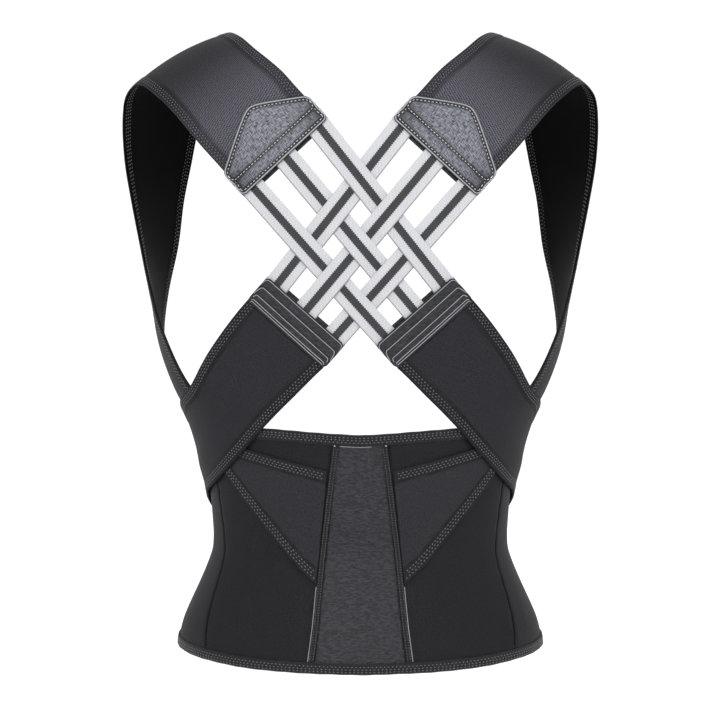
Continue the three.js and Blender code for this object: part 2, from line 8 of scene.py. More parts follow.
import bpy
import numpy as np
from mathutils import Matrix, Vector


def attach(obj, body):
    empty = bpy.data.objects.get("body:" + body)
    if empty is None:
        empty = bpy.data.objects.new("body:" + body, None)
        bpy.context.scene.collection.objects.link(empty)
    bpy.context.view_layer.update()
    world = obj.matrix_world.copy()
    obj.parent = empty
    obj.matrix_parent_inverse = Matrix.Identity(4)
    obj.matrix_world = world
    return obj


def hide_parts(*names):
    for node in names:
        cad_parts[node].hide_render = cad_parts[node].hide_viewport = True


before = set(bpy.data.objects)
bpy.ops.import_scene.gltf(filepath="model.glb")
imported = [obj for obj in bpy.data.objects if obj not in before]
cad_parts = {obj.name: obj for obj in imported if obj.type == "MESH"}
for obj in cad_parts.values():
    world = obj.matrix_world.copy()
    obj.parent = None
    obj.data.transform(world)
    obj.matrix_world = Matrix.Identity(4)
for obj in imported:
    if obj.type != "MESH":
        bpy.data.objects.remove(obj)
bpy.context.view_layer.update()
BODY = "root"
MM = 0.001

# %% [markdown]
# ## The camera
#
# The photograph was taken from behind, with a long lens at the height of the shoulder blades. The
# camera is tipped down a little so that the hem fits in, instead of shifting the lens, so the same
# camera also frames the brace well from other sides.

# %% Camera
CAMERA_DISTANCE = 2.0
CAMERA_HEIGHT = 0.3
AIM_HEIGHT = 0.155
AIM_ACROSS = 0.0014
VIEW_WIDTH = 0.6135
SENSOR_WIDTH = 36

camera_data = bpy.data.cameras.new("camera")
camera_data.sensor_width = SENSOR_WIDTH
camera_data.lens = SENSOR_WIDTH * CAMERA_DISTANCE / VIEW_WIDTH
camera = bpy.data.objects.new("camera", camera_data)
bpy.context.collection.objects.link(camera)
camera.location = (AIM_ACROSS, -CAMERA_DISTANCE, CAMERA_HEIGHT)
aim = Vector((AIM_ACROSS, 0, AIM_HEIGHT))
camera.rotation_euler = (aim - camera.location).to_track_quat("-Z", "Y").to_euler()
bpy.context.scene.camera = camera
print("lens", round(camera_data.lens, 1), "mm")

# %% [markdown]
# ## The wearer's form
#
# A brace has no shape of its own: it takes the wearer's. The form is a tube whose section is a
# rounded box, with a half width and two depths that change with the height. A table gives that
# change, and a smooth curve reads between its rows. A sculpted body would do as well, but a rule in
# millimetres can be checked against the solid model. Every layer of cloth is this same form, lifted
# outward by the thickness of what lies under it, so that layers never cut into each other.

# %% Sizes in millimetres, as the solid model has them
WAIST_WIDTH = 244
HEM_WIDTH = 304
CHEST_WIDTH = 376
WAIST_DEPTH = {"back": 90, "front": 88}
HEM_DEPTH = {"back": 105, "front": 103}
CHEST_DEPTH = {"back": 113, "front": 110}
HEM_DROP = 94
SHOULDER_RISE = 430
ROUNDNESS = 2.25
BAND_RISE = 107
LAYER_GAP = 0.4
SEAM_GAP = 0.8
BUTT_GAP = 1


def table_of(columns, rows):
    """A table as one array for each named column."""
    return dict(zip(columns, np.array(rows, float).T))


FORM = table_of(("height", "flare", "deep"), [
    (-1.15, 1.02, 1.1),
    (-1, 1, 1),
    (-0.84, 0.97, 0.86),
    (-0.69, 0.86, 0.69),
    (-0.53, 0.65, 0.5),
    (-0.38, 0.43, 0.32),
    (-0.22, 0.21, 0.15),
    (-0.08, 0.05, 0.04),
    (0.01, 0, 0),
    (0.05, 0.01, 0.1),
    (0.105, 0.04, 0.24),
    (0.15, 0.07, 0.34),
    (0.2, 0.125, 0.43),
    (0.253, 0.24, 0.54),
    (0.3, 0.41, 0.64),
    (0.35, 0.52, 0.74),
    (0.414, 0.62, 0.85),
    (0.48, 0.73, 0.93),
    (0.593, 0.91, 1),
    (0.674, 1, 0.96),
    (0.8, 1.03, 0.82),
    (0.87, 0.95, 0.57),
    (0.93, 0.82, 0.1),
    (1, 0.42, -1.1),
])
print("form", len(FORM["height"]), "rows over", HEM_DROP + SHOULDER_RISE, "mm")


# %% Read the form
def read_table(table, key, column, at):
    """A smooth curve through one column of a table, read at values of its key column."""
    keys, values = table[key], table[column]
    at = np.asarray(at, float)
    last = len(keys) - 1
    i = np.searchsorted(keys[1:last], at, side="left")
    before, after = np.maximum(i - 1, 0), np.minimum(i + 2, last)
    span = keys[i + 1] - keys[i]
    t = (at - keys[i]) / span
    start_slope = (values[i + 1] - values[before]) / (keys[i + 1] - keys[before]) * span
    end_slope = (values[after] - values[i]) / (keys[after] - keys[i]) * span
    return (values[i] * (1 + 2 * t) * (1 - t) ** 2 + start_slope * t * (1 - t) ** 2
            + values[i + 1] * t * t * (3 - 2 * t) + end_slope * t * t * (t - 1))


def lerp(a, b, t):
    return a + (b - a) * t


def smooth(value, low, high):
    t = np.clip((value - low) / (high - low), 0, 1)
    return t * t * (3 - 2 * t)


def form_at(height):
    """Half width and depths of the form at a height."""
    below = height < 0
    share = height / np.where(below, HEM_DROP, SHOULDER_RISE)
    flare = read_table(FORM, "height", "flare", share)
    deep = read_table(FORM, "height", "deep", share)
    half = lerp(WAIST_WIDTH, np.where(below, HEM_WIDTH, CHEST_WIDTH), flare) / 2
    depths = [lerp(WAIST_DEPTH[side], np.where(below, HEM_DEPTH[side], CHEST_DEPTH[side]), deep)
              for side in ("back", "front")]
    return half, *depths


def bulge(value):
    return np.sign(value) * np.abs(value) ** (2 / ROUNDNESS)


def form_point(angle, height, lift):
    """A point of the form: 0 degrees is the back centre, 180 the front centre."""
    angle, height, lift = np.broadcast_arrays(np.asarray(angle, float), height, lift)
    half, back, front = form_at(height)
    ahead = -np.cos(np.radians(angle))
    depth = np.where(ahead < 0, back, front)
    across = (half + lift) * bulge(np.sin(np.radians(angle)))
    return np.stack([across, (depth + lift) * bulge(ahead), height], axis=-1)


def back_angle(across, height, lift):
    share = np.minimum(np.abs(across) / (form_at(height)[0] + lift), 1)
    return np.sign(across) * np.degrees(np.arcsin(share ** (ROUNDNESS / 2)))


def back_point(across, height, lift):
    return form_point(back_angle(across, height, lift), height, lift)


print("waist half width and depths", [round(float(size)) for size in form_at(np.array(0.0))], "mm")

# %% [markdown]
# ## Cloth from a rule
#
# A cloth simulation could drape each piece, but a brace is stretched tight all over, so its shape
# is known. Each sheet of cloth is a grid over its rule: `surface(u, v, lift)` gives a point for any
# place on the sheet and any lift. The grid is even in millimetres, with three more lines close to
# each edge, where the two faces run together in a half round, as the folded edge of real cloth
# does. The sheet also gets a UV map in metres, so that a weave keeps its real scale, and an
# attribute called shade that multiplies its colour: 1 on plain cloth and less on a hem. It is
# painted shade where it darkens a seam's groove, a corner, the lower edge of an elastic or a
# shoulder strap away from its tab. The sheet remembers its own rule, so that stitches can be
# laid on it later.

# %% Grids
EDGE_LINES = 3
PATH_SAMPLES = 400


def along(points, axis):
    """Running length of a grid of points along one axis."""
    hops = np.linalg.norm(np.diff(points, axis=axis), axis=-1)
    zero = np.zeros_like(np.take(hops, [0], axis=axis))
    return np.concatenate([zero, np.cumsum(hops, axis=axis)], axis=axis)


def even_stations(path, start, end, spacing, edge):
    """Values from start to end that are evenly spaced along a path, and close at both ends."""
    fine = np.linspace(start, end, PATH_SAMPLES)
    run = along(path(fine), 0)
    total = run[-1]
    round_off = edge * (1 - np.cos(np.linspace(0, np.pi / 2, EDGE_LINES + 1)))
    count = max(2, int(np.ceil((total - 2 * edge) / spacing)))
    middle = np.linspace(edge, total - edge, count + 1)[1:-1]
    return np.interp([*round_off, *middle, *(total - round_off[::-1])], run, fine)


def shell_mesh(name, inner, outer, uv, shade, finishes):
    """A closed mesh between two grids that share their rim, facing outward.

    The finishes are the outer face's and the inner one's.
    """
    rows, columns = outer.shape[:2]
    outer_index = np.arange(rows * columns).reshape(rows, columns)
    inner_index = outer_index.copy()
    inside = (rows - 2) * (columns - 2)
    inner_index[1:-1, 1:-1] = rows * columns + np.arange(inside).reshape(rows - 2, columns - 2)
    points = np.concatenate([outer.reshape(-1, 3), inner[1:-1, 1:-1].reshape(-1, 3)]) * MM
    coordinates = np.concatenate([uv.reshape(-1, 2), uv[1:-1, 1:-1].reshape(-1, 2)]) * MM
    quads = []
    for index, turn in ((outer_index, 1), (inner_index, -1)):
        corners = (index[:-1, :-1], index[1:, :-1], index[1:, 1:], index[:-1, 1:])
        quads.append(np.stack(corners, axis=-1).reshape(-1, 4)[:, ::turn])
    linings = np.repeat([0, len(finishes) - 1], len(quads[0]))
    piece = quad_mesh(name, points, np.concatenate(quads), coordinates, finishes, linings)
    kept = piece.data.attributes.new("shade", "FLOAT", "POINT")
    shades = np.concatenate([shade.ravel(), shade[1:-1, 1:-1].ravel()])
    kept.data.foreach_set("value", shades.astype(np.float32))
    return piece


def quad_mesh(name, points, quads, coordinates, finishes, finish_index):
    """A smooth mesh of four-sided faces with a UV map, its faces turned outward."""
    a, b, c = (points[quads[:, k]] for k in (0, 1, 2))
    d = points[quads[:, 3]]
    volume = (a * (np.cross(b, c) + np.cross(c, d))).sum()
    if volume < 0:
        quads = quads[:, ::-1]
    mesh = bpy.data.meshes.new(name)
    mesh.from_pydata(points.tolist(), [], quads.tolist())
    layer = mesh.uv_layers.new(name="UVMap")
    layer.data.foreach_set("uv", coordinates[quads.ravel()].astype(np.float32).ravel())
    mesh.polygons.foreach_set("use_smooth", np.ones(len(quads), bool))
    for finish in finishes:
        mesh.materials.append(finish)
    mesh.polygons.foreach_set("material_index", finish_index.astype(np.int32))
    mesh.update()
    piece = bpy.data.objects.new(name, mesh)
    bpy.context.collection.objects.link(piece)
    print(name, len(quads), "faces")
    return piece


# %% Sheets
def no_relief(run, cross, edge):
    return 0


def plain_shade(run, cross, edge):
    return 1


def side_slant(base):
    """How square the grid's cross lines stand to the two long sides: 1 is square."""
    slant = {}
    for name, a, b in (("near", 0, EDGE_LINES + 1), ("far", -1, -EDGE_LINES - 2)):
        along_side = np.gradient(base[:, a], axis=0)
        inward = base[:, b] - base[:, a]
        turned = np.linalg.norm(np.cross(along_side, inward), axis=-1)
        lengths = np.linalg.norm(along_side, axis=-1) * np.linalg.norm(inward, axis=-1)
        slant[name] = (turned / lengths)[:, None]
    return slant


def sheet_plan(surface, u_range, v_range, lift, thickness, spacing, relief=no_relief, shade=plain_shade):
    """Work out a sheet: its stations, its two faces and the lengths along and across it."""
    radius = thickness / 2
    u_middle, v_middle = np.mean(u_range), np.mean(v_range)
    u = even_stations(lambda t: surface(t, v_middle, lift), *u_range, spacing, radius)
    v = even_stations(lambda t: surface(u_middle, t, lift), *v_range, spacing, radius)
    grid_u, grid_v = np.meshgrid(u, v, indexing="ij")
    base = surface(grid_u, grid_v, lift + thickness)
    run, cross = along(base, 0), along(base, 1)
    slant = side_slant(base)
    ends = np.minimum(run, run[-1:] - run)
    sides = np.minimum(cross * slant["near"], (cross[:, -1:] - cross) * slant["far"])
    near = np.minimum(np.minimum(ends, sides) / radius, 1)
    full = np.sqrt(1 - (1 - near) ** 2)
    middle = cross.shape[1] // 2
    low = lift + radius * (1 - full)
    edge = {"sides": sides, "ends": ends}
    top = lift + radius * (1 + full) + full * relief(run, cross, edge)
    uv = np.stack([np.broadcast_to(run[:, [middle]], cross.shape), cross - cross[:, [middle]]], axis=-1)
    return {
        "surface": surface, "u": u, "v": v, "run": run, "cross": cross, "low": low, "top": top, "uv": uv,
        "shade": np.clip(np.broadcast_to(shade(run, cross, edge), cross.shape), 0, 1), "slant": slant,
        "inner": surface(grid_u, grid_v, low), "outer": surface(grid_u, grid_v, top),
    }


# %% Pieces
SIDES = ((1, "left"), (-1, "right"))


def sheet_piece(name, plan, finishes, side=1):
    """Make the sheet's mesh, on the left as planned or mirrored to the right."""
    mirror = np.array([side, 1, 1])
    inner, outer = plan["inner"] * mirror, plan["outer"] * mirror
    return shell_mesh(name, inner, outer, plan["uv"], plan["shade"], finishes)


def settle(piece, slot, *nodes):
    """Hide the solids that a piece stands for and attach it to the body that carries it. The slot is not
    used.
    """
    if nodes:
        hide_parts(*nodes)
    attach(piece, BODY)


def declare_cloth(piece, plan):
    """Print the size that a piece of cloth, stretched over the wearer, was cut to."""
    width, length = plan["cross"][:, -1].max(), plan["run"][-1].max()
    print(piece.name, "cut", round(width), "x", round(length), "mm")


def add_pair(name, plan, finishes, slot, node=None, cut=True):
    """Make a sheet on the left and, mirrored, on the right. Cut cloth has its size printed."""
    for side, word in SIDES:
        piece = sheet_piece(f"{name}_{word}", plan, finishes, side)
        settle(piece, slot, *([f"{node}_{word}"] if node else []))
        if cut:
            declare_cloth(piece, plan)


# %% [markdown]
# ## Finishes
#
# Each finish is named for the real one. Two small functions serve them all: one turns an sRGB hex
# colour to linear light, and one adds a node with its settings and links. A finish starts from a
# material whose shader has its plain sockets set, and then gets its colour and its bumps. A Mix
# node takes its factor at socket 0 and its two colours at 6 and 7, and gives the mix at output 2.

# %% Node helpers
def colour(hex_code):
    """An sRGB hex colour as linear RGBA."""
    parts = np.array([int(hex_code[i:i + 2], 16) for i in (1, 3, 5)]) / 255
    linear = np.where(parts <= 0.04045, parts / 12.92, ((parts + 0.055) / 1.055) ** 2.4)
    return (*linear.tolist(), 1)


def add_node(tree, kind, inputs=None, **settings):
    """Add a node. An input is a plain value, or the node or output socket that it is linked to."""
    node = tree.nodes.new(kind)
    for key, value in settings.items():
        setattr(node, key, value)
    for key, value in (inputs or {}).items():
        source = value.outputs[0] if isinstance(value, bpy.types.Node) else value
        if isinstance(source, bpy.types.NodeSocket):
            tree.links.new(source, node.inputs[key])
        else:
            node.inputs[key].default_value = source
    return node


def new_material(name, **shader):
    """A material whose shader has its plain sockets set."""
    material = bpy.data.materials.new(name)
    material.use_nodes = True
    tree = material.node_tree
    tree.nodes.clear()
    principled = add_node(tree, "ShaderNodeBsdfPrincipled", shader)
    add_node(tree, "ShaderNodeOutputMaterial", {"Surface": principled})
    return material, tree, principled


print("mid grey is", round(colour("#808080")[0], 3), "in linear light")

# %% [markdown]
# ### Knitted cloth
#
# The straps and panels are a polyester warp knit over a thin foam. Its ribs run nearly straight
# across a strap and are broken by wales along it. The real ribs are about 0.6 mm apart, finer than
# a pixel of the render, so they are drawn over three times that to show. Brushed filaments give
# the cloth its sheen at grazing angles, and loose ones a salt and pepper look. Sine waves along the
# sheet's own coordinates make the knit and a noise makes the fuzz, so both keep their scale.

# %% Knitted cloth
RIB_PITCH = 2.1
RIB_LEAN = -0.32
WALE_PITCH = 2.3
FUZZ_SIZE = 1.2
SWELL_SIZE = 30
SWELL_DEPTH = 0.5
RIB_TONE = 0.25
LOOP_TONE = 0.2
FUZZ_TONE = 2
DARKEST_TONE = 1.05
LIGHTEST_TONE = 2
FUZZ_DEPTH_SHARE = 1.6


def warp_knit(name, dark, light, ribbing, weave_depth, sheen, gloss):
    material, tree, shader = new_material(name, **{
        "Roughness": 0.76, "Sheen Weight": sheen, "Sheen Roughness": 0.45,
        "Sheen Tint": colour("#b0b0bc"), "Specular IOR Level": gloss,
    })
    place = add_node(tree, "ShaderNodeTexCoord")
    on_sheet = add_node(tree, "ShaderNodeSeparateXYZ", {"Vector": place.outputs["UV"]})
    length, across = on_sheet.outputs["X"], on_sheet.outputs["Y"]
    leaning = add_node(tree, "ShaderNodeMath", {0: across, 1: RIB_LEAN, 2: length},
                       operation="MULTIPLY_ADD")
    waves = []
    for value, pitch in ((leaning, RIB_PITCH), (across, WALE_PITCH)):
        turn = add_node(tree, "ShaderNodeMath", {0: value, 1: 2 * np.pi / (pitch * MM)},
                        operation="MULTIPLY")
        waves.append(add_node(tree, "ShaderNodeMath", {0: turn}, operation="SINE"))
    ribs = add_node(tree, "ShaderNodeMath", {0: waves[0], 1: RIB_TONE * ribbing, 2: 0.5},
                    operation="MULTIPLY_ADD")
    loops = add_node(tree, "ShaderNodeMath", {0: waves[0], 1: waves[1]}, operation="MULTIPLY")
    knit = add_node(tree, "ShaderNodeMath", {0: loops, 1: LOOP_TONE * ribbing, 2: ribs},
                    operation="MULTIPLY_ADD")
    fuzz = add_node(tree, "ShaderNodeTexNoise", {
        "Vector": place.outputs["UV"], "Scale": 1 / (FUZZ_SIZE * MM), "Detail": 3, "Roughness": 0.8})
    mixed = add_node(tree, "ShaderNodeMath", {0: fuzz, 1: FUZZ_TONE, 2: knit}, operation="MULTIPLY_ADD")
    tone = add_node(tree, "ShaderNodeMapRange", {
        "Value": mixed, "From Min": DARKEST_TONE, "From Max": LIGHTEST_TONE})
    cloth = add_node(tree, "ShaderNodeMix", {0: tone, 6: colour(dark), 7: colour(light)}, data_type="RGBA")
    # The shade attribute multiplies the colour: a darker hem, and painted shade in seam and hem grooves and
    # on a shoulder strap away from its tab.
    shade = add_node(tree, "ShaderNodeAttribute", attribute_name="shade")
    painted_shade_mix = add_node(tree, "ShaderNodeMix", {0: 1, 6: cloth.outputs[2], 7: shade.outputs["Color"]},
                    data_type="RGBA", blend_type="MULTIPLY")
    tree.links.new(painted_shade_mix.outputs[2], shader.inputs["Base Color"])
    swell = add_node(tree, "ShaderNodeTexNoise", {
        "Vector": place.outputs["Object"], "Scale": 1 / (SWELL_SIZE * MM), "Detail": 2})
    bump = None
    depths = ((swell, SWELL_DEPTH), (knit, weave_depth), (fuzz, weave_depth * FUZZ_DEPTH_SHARE))
    for height, depth in depths:
        inputs = {"Height": height, "Distance": depth * MM, "Strength": 1}
        bump = add_node(tree, "ShaderNodeBump", inputs if bump is None else {**inputs, "Normal": bump})
    tree.links.new(bump.outputs[0], shader.inputs["Normal"])
    return material


knit_cloth = warp_knit("warp knit on foam", "#111114", "#323136", 0.3, 0.12, 0.04, 0.15)
# The back panels take a darker copy of the knit: painted shade for panels that face down, away from the key
# light.
panel_cloth_painted_shade = warp_knit("warp knit on foam, darkened for painted shade", "#0d0d0f", "#29292d", 0.3, 0.1, 0.03, 0.13)
strap_cloth = warp_knit("brushed warp knit", "#070709", "#706f79", 1.1, 0.4, 0.06, 0.2)
wing_cloth = warp_knit("power knit", "#121214", "#38373c", 0.3, 0.12, 0.04, 0.15)
# The lining is partly its own darker cloth and partly painted shade: inner faces turned away from the
# lights are made near black.
lining = warp_knit("smooth lining knit, darkened for painted shade", "#050506", "#101013", 0.5, 0.06, 0.0, 0.07)
for knit in (knit_cloth, panel_cloth_painted_shade, strap_cloth, wing_cloth, lining):
    print(knit.name, len(knit.node_tree.nodes), "nodes")

# %% [markdown]
# ### Binding tape
#
# The band's edges are bound with a folded polyester tape. It is woven across, so it shows fine
# ribs at right angles to the edge, and it is a little darker than the knit. The real ribs are about
# 0.6 mm apart, so they are drawn three times coarser to show. One sine wave is enough for them.

# %% Binding tape
TAPE_RIB = 1.9
TAPE_RIB_DEPTH = 0.15
TAPE_FUZZ_DEPTH = 0.25


def binding_tape():
    material, tree, shader = new_material("folded polyester tape", **{
        "Roughness": 0.7, "Sheen Weight": 0.06, "Sheen Roughness": 0.5, "Specular IOR Level": 0.3,
    })
    place = add_node(tree, "ShaderNodeTexCoord")
    on_sheet = add_node(tree, "ShaderNodeSeparateXYZ", {"Vector": place.outputs["UV"]})
    turn = add_node(tree, "ShaderNodeMath", {0: on_sheet.outputs["X"], 1: 2 * np.pi / (TAPE_RIB * MM)},
                    operation="MULTIPLY")
    wave = add_node(tree, "ShaderNodeMath", {0: turn}, operation="SINE")
    ribs = add_node(tree, "ShaderNodeMath", {0: wave, 1: 0.5, 2: 0.5}, operation="MULTIPLY_ADD")
    fuzz = add_node(tree, "ShaderNodeTexNoise", {
        "Vector": place.outputs["UV"], "Scale": 1 / (FUZZ_SIZE * MM), "Detail": 2, "Roughness": 0.7})
    tone = add_node(tree, "ShaderNodeMath", {0: ribs, 1: fuzz}, operation="MULTIPLY")
    woven = add_node(tree, "ShaderNodeMix", {0: tone, 6: colour("#09090b"), 7: colour("#242428")},
                     data_type="RGBA")
    tree.links.new(woven.outputs[2], shader.inputs["Base Color"])
    low = add_node(tree, "ShaderNodeBump", {"Height": ribs, "Distance": TAPE_RIB_DEPTH * MM, "Strength": 1})
    bump = add_node(tree, "ShaderNodeBump", {
        "Height": fuzz, "Distance": TAPE_FUZZ_DEPTH * MM, "Strength": 1, "Normal": low})
    tree.links.new(bump.outputs[0], shader.inputs["Normal"])
    return material


tape = binding_tape()
print(tape.name, len(tape.node_tree.nodes), "nodes")

# %% [markdown]
# ### Smooth leatherette
#
# The centre panel and the lower tabs are smooth polyurethane leatherette, a plastic film with an
# IOR near 1.5. It has small pebbles and is finely creased level by level where the wearer bends.
# Its emboss keeps it half matt, so that highlights spread wide and soft. Voronoi cells make the
# pebbles, and a noise that is squeezed in height makes the creases, which then lie level.

# %% Smooth leatherette
PEBBLE = 1.5
PEBBLE_DEPTH = 0.16
CREASE = 2.4
CREASE_DEPTH = 1.1
CREASE_SQUEEZE = (0.6, 0.6, 1.7)


def smooth_leatherette():
    material, tree, shader = new_material("smooth polyurethane leatherette", **{
        "Roughness": 0.5, "IOR": 1.5, "Specular IOR Level": 0.4,
    })
    place = add_node(tree, "ShaderNodeTexCoord")
    cells = add_node(tree, "ShaderNodeTexVoronoi", {
        "Vector": place.outputs["UV"], "Scale": 1 / (PEBBLE * MM)})
    stretch = add_node(tree, "ShaderNodeMapping",
                       {"Vector": place.outputs["Object"], "Scale": CREASE_SQUEEZE})
    creases = add_node(tree, "ShaderNodeTexNoise", {
        "Vector": stretch, "Scale": 1 / (CREASE * MM), "Detail": 2, "Roughness": 0.6, "Distortion": 0.3})
    tone = add_node(tree, "ShaderNodeMapRange", {"Value": creases, "From Min": 0.4, "From Max": 0.62})
    film = add_node(tree, "ShaderNodeMix", {0: tone, 6: colour("#0a0a0e"), 7: colour("#292932")},
                    data_type="RGBA")
    # The shade attribute multiplies the colour: painted shade in the seam grooves and along the lines
    # between the ribs.
    shade = add_node(tree, "ShaderNodeAttribute", attribute_name="shade")
    painted_shade_mix = add_node(tree, "ShaderNodeMix", {0: 1, 6: film.outputs[2], 7: shade.outputs["Color"]},
                    data_type="RGBA", blend_type="MULTIPLY")
    tree.links.new(painted_shade_mix.outputs[2], shader.inputs["Base Color"])
    low = add_node(tree, "ShaderNodeBump", {
        "Height": creases, "Distance": CREASE_DEPTH * MM, "Strength": 1})
    bump = add_node(tree, "ShaderNodeBump", {
        "Height": cells, "Distance": PEBBLE_DEPTH * MM, "Strength": 1, "Normal": low})
    tree.links.new(bump.outputs[0], shader.inputs["Normal"])
    return material


smooth_film = smooth_leatherette()
print(smooth_film.name, len(smooth_film.node_tree.nodes), "nodes")

# %% [markdown]
# ### Cross-grained leatherette
#
# The upper tabs are a lighter leatherette, embossed with two sets of short fine threads at right
# angles. A noise that is stretched one way gives one set. The tops of the grain are polished and
# catch the light. The real threads are about 0.4 mm wide and are drawn twice that, to show.

# %% Cross-grained leatherette
GRAIN_WIDTH = 0.75
GRAIN_LENGTH = 4.5
GRAIN_DEPTH = 0.35


def grained_leatherette():
    material, tree, shader = new_material("cross-grained leatherette", **{
        "Roughness": 0.42, "IOR": 1.5, "Specular IOR Level": 0.45,
    })
    place = add_node(tree, "ShaderNodeTexCoord")
    sets = []
    for stretch in ((GRAIN_LENGTH, GRAIN_WIDTH, 1), (GRAIN_WIDTH, GRAIN_LENGTH, 1)):
        along_grain = add_node(tree, "ShaderNodeMapping", {
            "Vector": place.outputs["UV"], "Scale": tuple(1 / (size * MM) for size in stretch)})
        sets.append(add_node(tree, "ShaderNodeTexNoise", {
            "Vector": along_grain, "Scale": 1, "Detail": 1, "Roughness": 0.6}))
    broken = add_node(tree, "ShaderNodeMath", {0: sets[0], 1: sets[1]}, operation="ADD")
    tone = add_node(tree, "ShaderNodeMapRange", {"Value": broken, "From Min": 0.78, "From Max": 1.24})
    film = add_node(tree, "ShaderNodeMix", {0: tone, 6: colour("#22232a"), 7: colour("#8a8c97")},
                    data_type="RGBA")
    # The shade attribute multiplies the colour: painted shade in the grooves and towards the corners.
    shade = add_node(tree, "ShaderNodeAttribute", attribute_name="shade")
    painted_shade_mix = add_node(tree, "ShaderNodeMix", {0: 1, 6: film.outputs[2], 7: shade.outputs["Color"]},
                    data_type="RGBA", blend_type="MULTIPLY")
    tree.links.new(painted_shade_mix.outputs[2], shader.inputs["Base Color"])
    bump = add_node(tree, "ShaderNodeBump", {
        "Height": broken, "Distance": GRAIN_DEPTH * MM, "Strength": 1})
    tree.links.new(bump.outputs[0], shader.inputs["Normal"])
    return material


grained_film = grained_leatherette()
print(grained_film.name, len(grained_film.node_tree.nodes), "nodes")

# %% [markdown]
# ### Elastic webbing
#
# The elastics are woven: white edges, a black stripe in the middle whose edges step from pick to
# pick, and ribs across where the rubber draws the weave together. The pattern reads the sheet's
# own coordinates, so it follows each elastic over and under the others. The real picks are about
# as fine as a pixel of the render, so they are drawn twice as far apart.

# %% Elastic webbing
ELASTIC_WIDTH = 20
STRIPE_HALF = 3.1
STRIPE_STEP = 0.35
PICK_PITCH = 1.9
PICK_DEPTH = 0.18
PILE_PITCH = 1.4


def elastic_webbing():
    material, tree, shader = new_material("woven elastic", **{
        "Roughness": 0.7, "Sheen Weight": 0.08, "Specular IOR Level": 0.3,
    })
    place = add_node(tree, "ShaderNodeTexCoord")
    on_sheet = add_node(tree, "ShaderNodeSeparateXYZ", {"Vector": place.outputs["UV"]})
    waves = []
    for axis, pitch in (("X", PICK_PITCH), ("Y", PILE_PITCH)):
        turn = add_node(tree, "ShaderNodeMath", {0: on_sheet.outputs[axis], 1: 2 * np.pi / (pitch * MM)},
                        operation="MULTIPLY")
        waves.append(add_node(tree, "ShaderNodeMath", {0: turn}, operation="SINE"))
    offset = add_node(tree, "ShaderNodeMath", {0: on_sheet.outputs["Y"]}, operation="ABSOLUTE")
    stepped = add_node(tree, "ShaderNodeMath", {0: waves[0], 1: STRIPE_STEP * MM, 2: offset},
                       operation="MULTIPLY_ADD")
    stripe = add_node(tree, "ShaderNodeMapRange", {
        "Value": stepped, "From Min": (STRIPE_HALF - 0.2) * MM, "From Max": (STRIPE_HALF + 0.2) * MM})
    grid = add_node(tree, "ShaderNodeMath", {0: waves[0], 1: waves[1]}, operation="MULTIPLY")
    picks = add_node(tree, "ShaderNodeMath", {0: grid, 1: 0.35, 2: 0.5}, operation="MULTIPLY_ADD")
    black = add_node(tree, "ShaderNodeMix", {0: picks, 6: colour("#0e0e10"), 7: colour("#48484c")},
                     data_type="RGBA")
    white = add_node(tree, "ShaderNodeMix", {0: picks, 6: colour("#8f8f94"), 7: colour("#e2e2e6")},
                     data_type="RGBA")
    woven = add_node(tree, "ShaderNodeMix", {0: stripe, 6: black.outputs[2], 7: white.outputs[2]},
                     data_type="RGBA")
    # The shade attribute multiplies the colour: a painted shadow along the lower edge.
    shade = add_node(tree, "ShaderNodeAttribute", attribute_name="shade")
    painted_shade_mix = add_node(tree, "ShaderNodeMix", {0: 1, 6: woven.outputs[2], 7: shade.outputs["Color"]},
                    data_type="RGBA", blend_type="MULTIPLY")
    tree.links.new(painted_shade_mix.outputs[2], shader.inputs["Base Color"])
    bump = add_node(tree, "ShaderNodeBump", {
        "Height": picks, "Distance": PICK_DEPTH * MM, "Strength": 1})
    tree.links.new(bump.outputs[0], shader.inputs["Normal"])
    return material


elastic_weave = elastic_webbing()
print(elastic_weave.name, len(elastic_weave.node_tree.nodes), "nodes")

# %% [markdown]
# ### Thread and piping
#
# Thread and piping are lustrous twisted polyester. The twist is finer than a pixel, so it is only
# a soft change of tone along the thread.

# %% Thread and piping
TWIST = 1.2
TWIST_DEPTH = 0.1


def twisted_polyester(name, dark, light):
    material, tree, shader = new_material(name, **{
        "Roughness": 0.5, "Sheen Weight": 0.15, "Specular IOR Level": 0.5,
    })
    place = add_node(tree, "ShaderNodeTexCoord")
    twist = add_node(tree, "ShaderNodeTexNoise", {
        "Vector": place.outputs["Object"], "Scale": 1 / (TWIST * MM), "Detail": 2})
    yarn = add_node(tree, "ShaderNodeMix", {0: twist, 6: colour(dark), 7: colour(light)}, data_type="RGBA")
    tree.links.new(yarn.outputs[2], shader.inputs["Base Color"])
    bump = add_node(tree, "ShaderNodeBump", {
        "Height": twist, "Distance": TWIST_DEPTH * MM, "Strength": 1})
    tree.links.new(bump.outputs[0], shader.inputs["Normal"])
    return material


hem_thread = twisted_polyester("grey-black polyester thread", "#46464c", "#7b7b82")
light_thread = twisted_polyester("light grey polyester thread", "#b4b4ba", "#e8e8ec")
# The cords are light grey: a painted highlight on black piping and rounded edges.
grey_cord_painted_highlight = twisted_polyester("grey cord, lightened for painted highlight", "#86878e", "#b2b3ba")
print("materials so far", len(bpy.data.materials))

# %% [markdown]
# ## The waist band
#
# Five panels run round the waist, sewn edge to edge, and lap at the front. Their top and hem
# follow two small tables. The centre panel is leatherette, narrow at the top and wide at the hem.
# The others are knit. A panel's rule walks from one seam to the other and from hem to top.

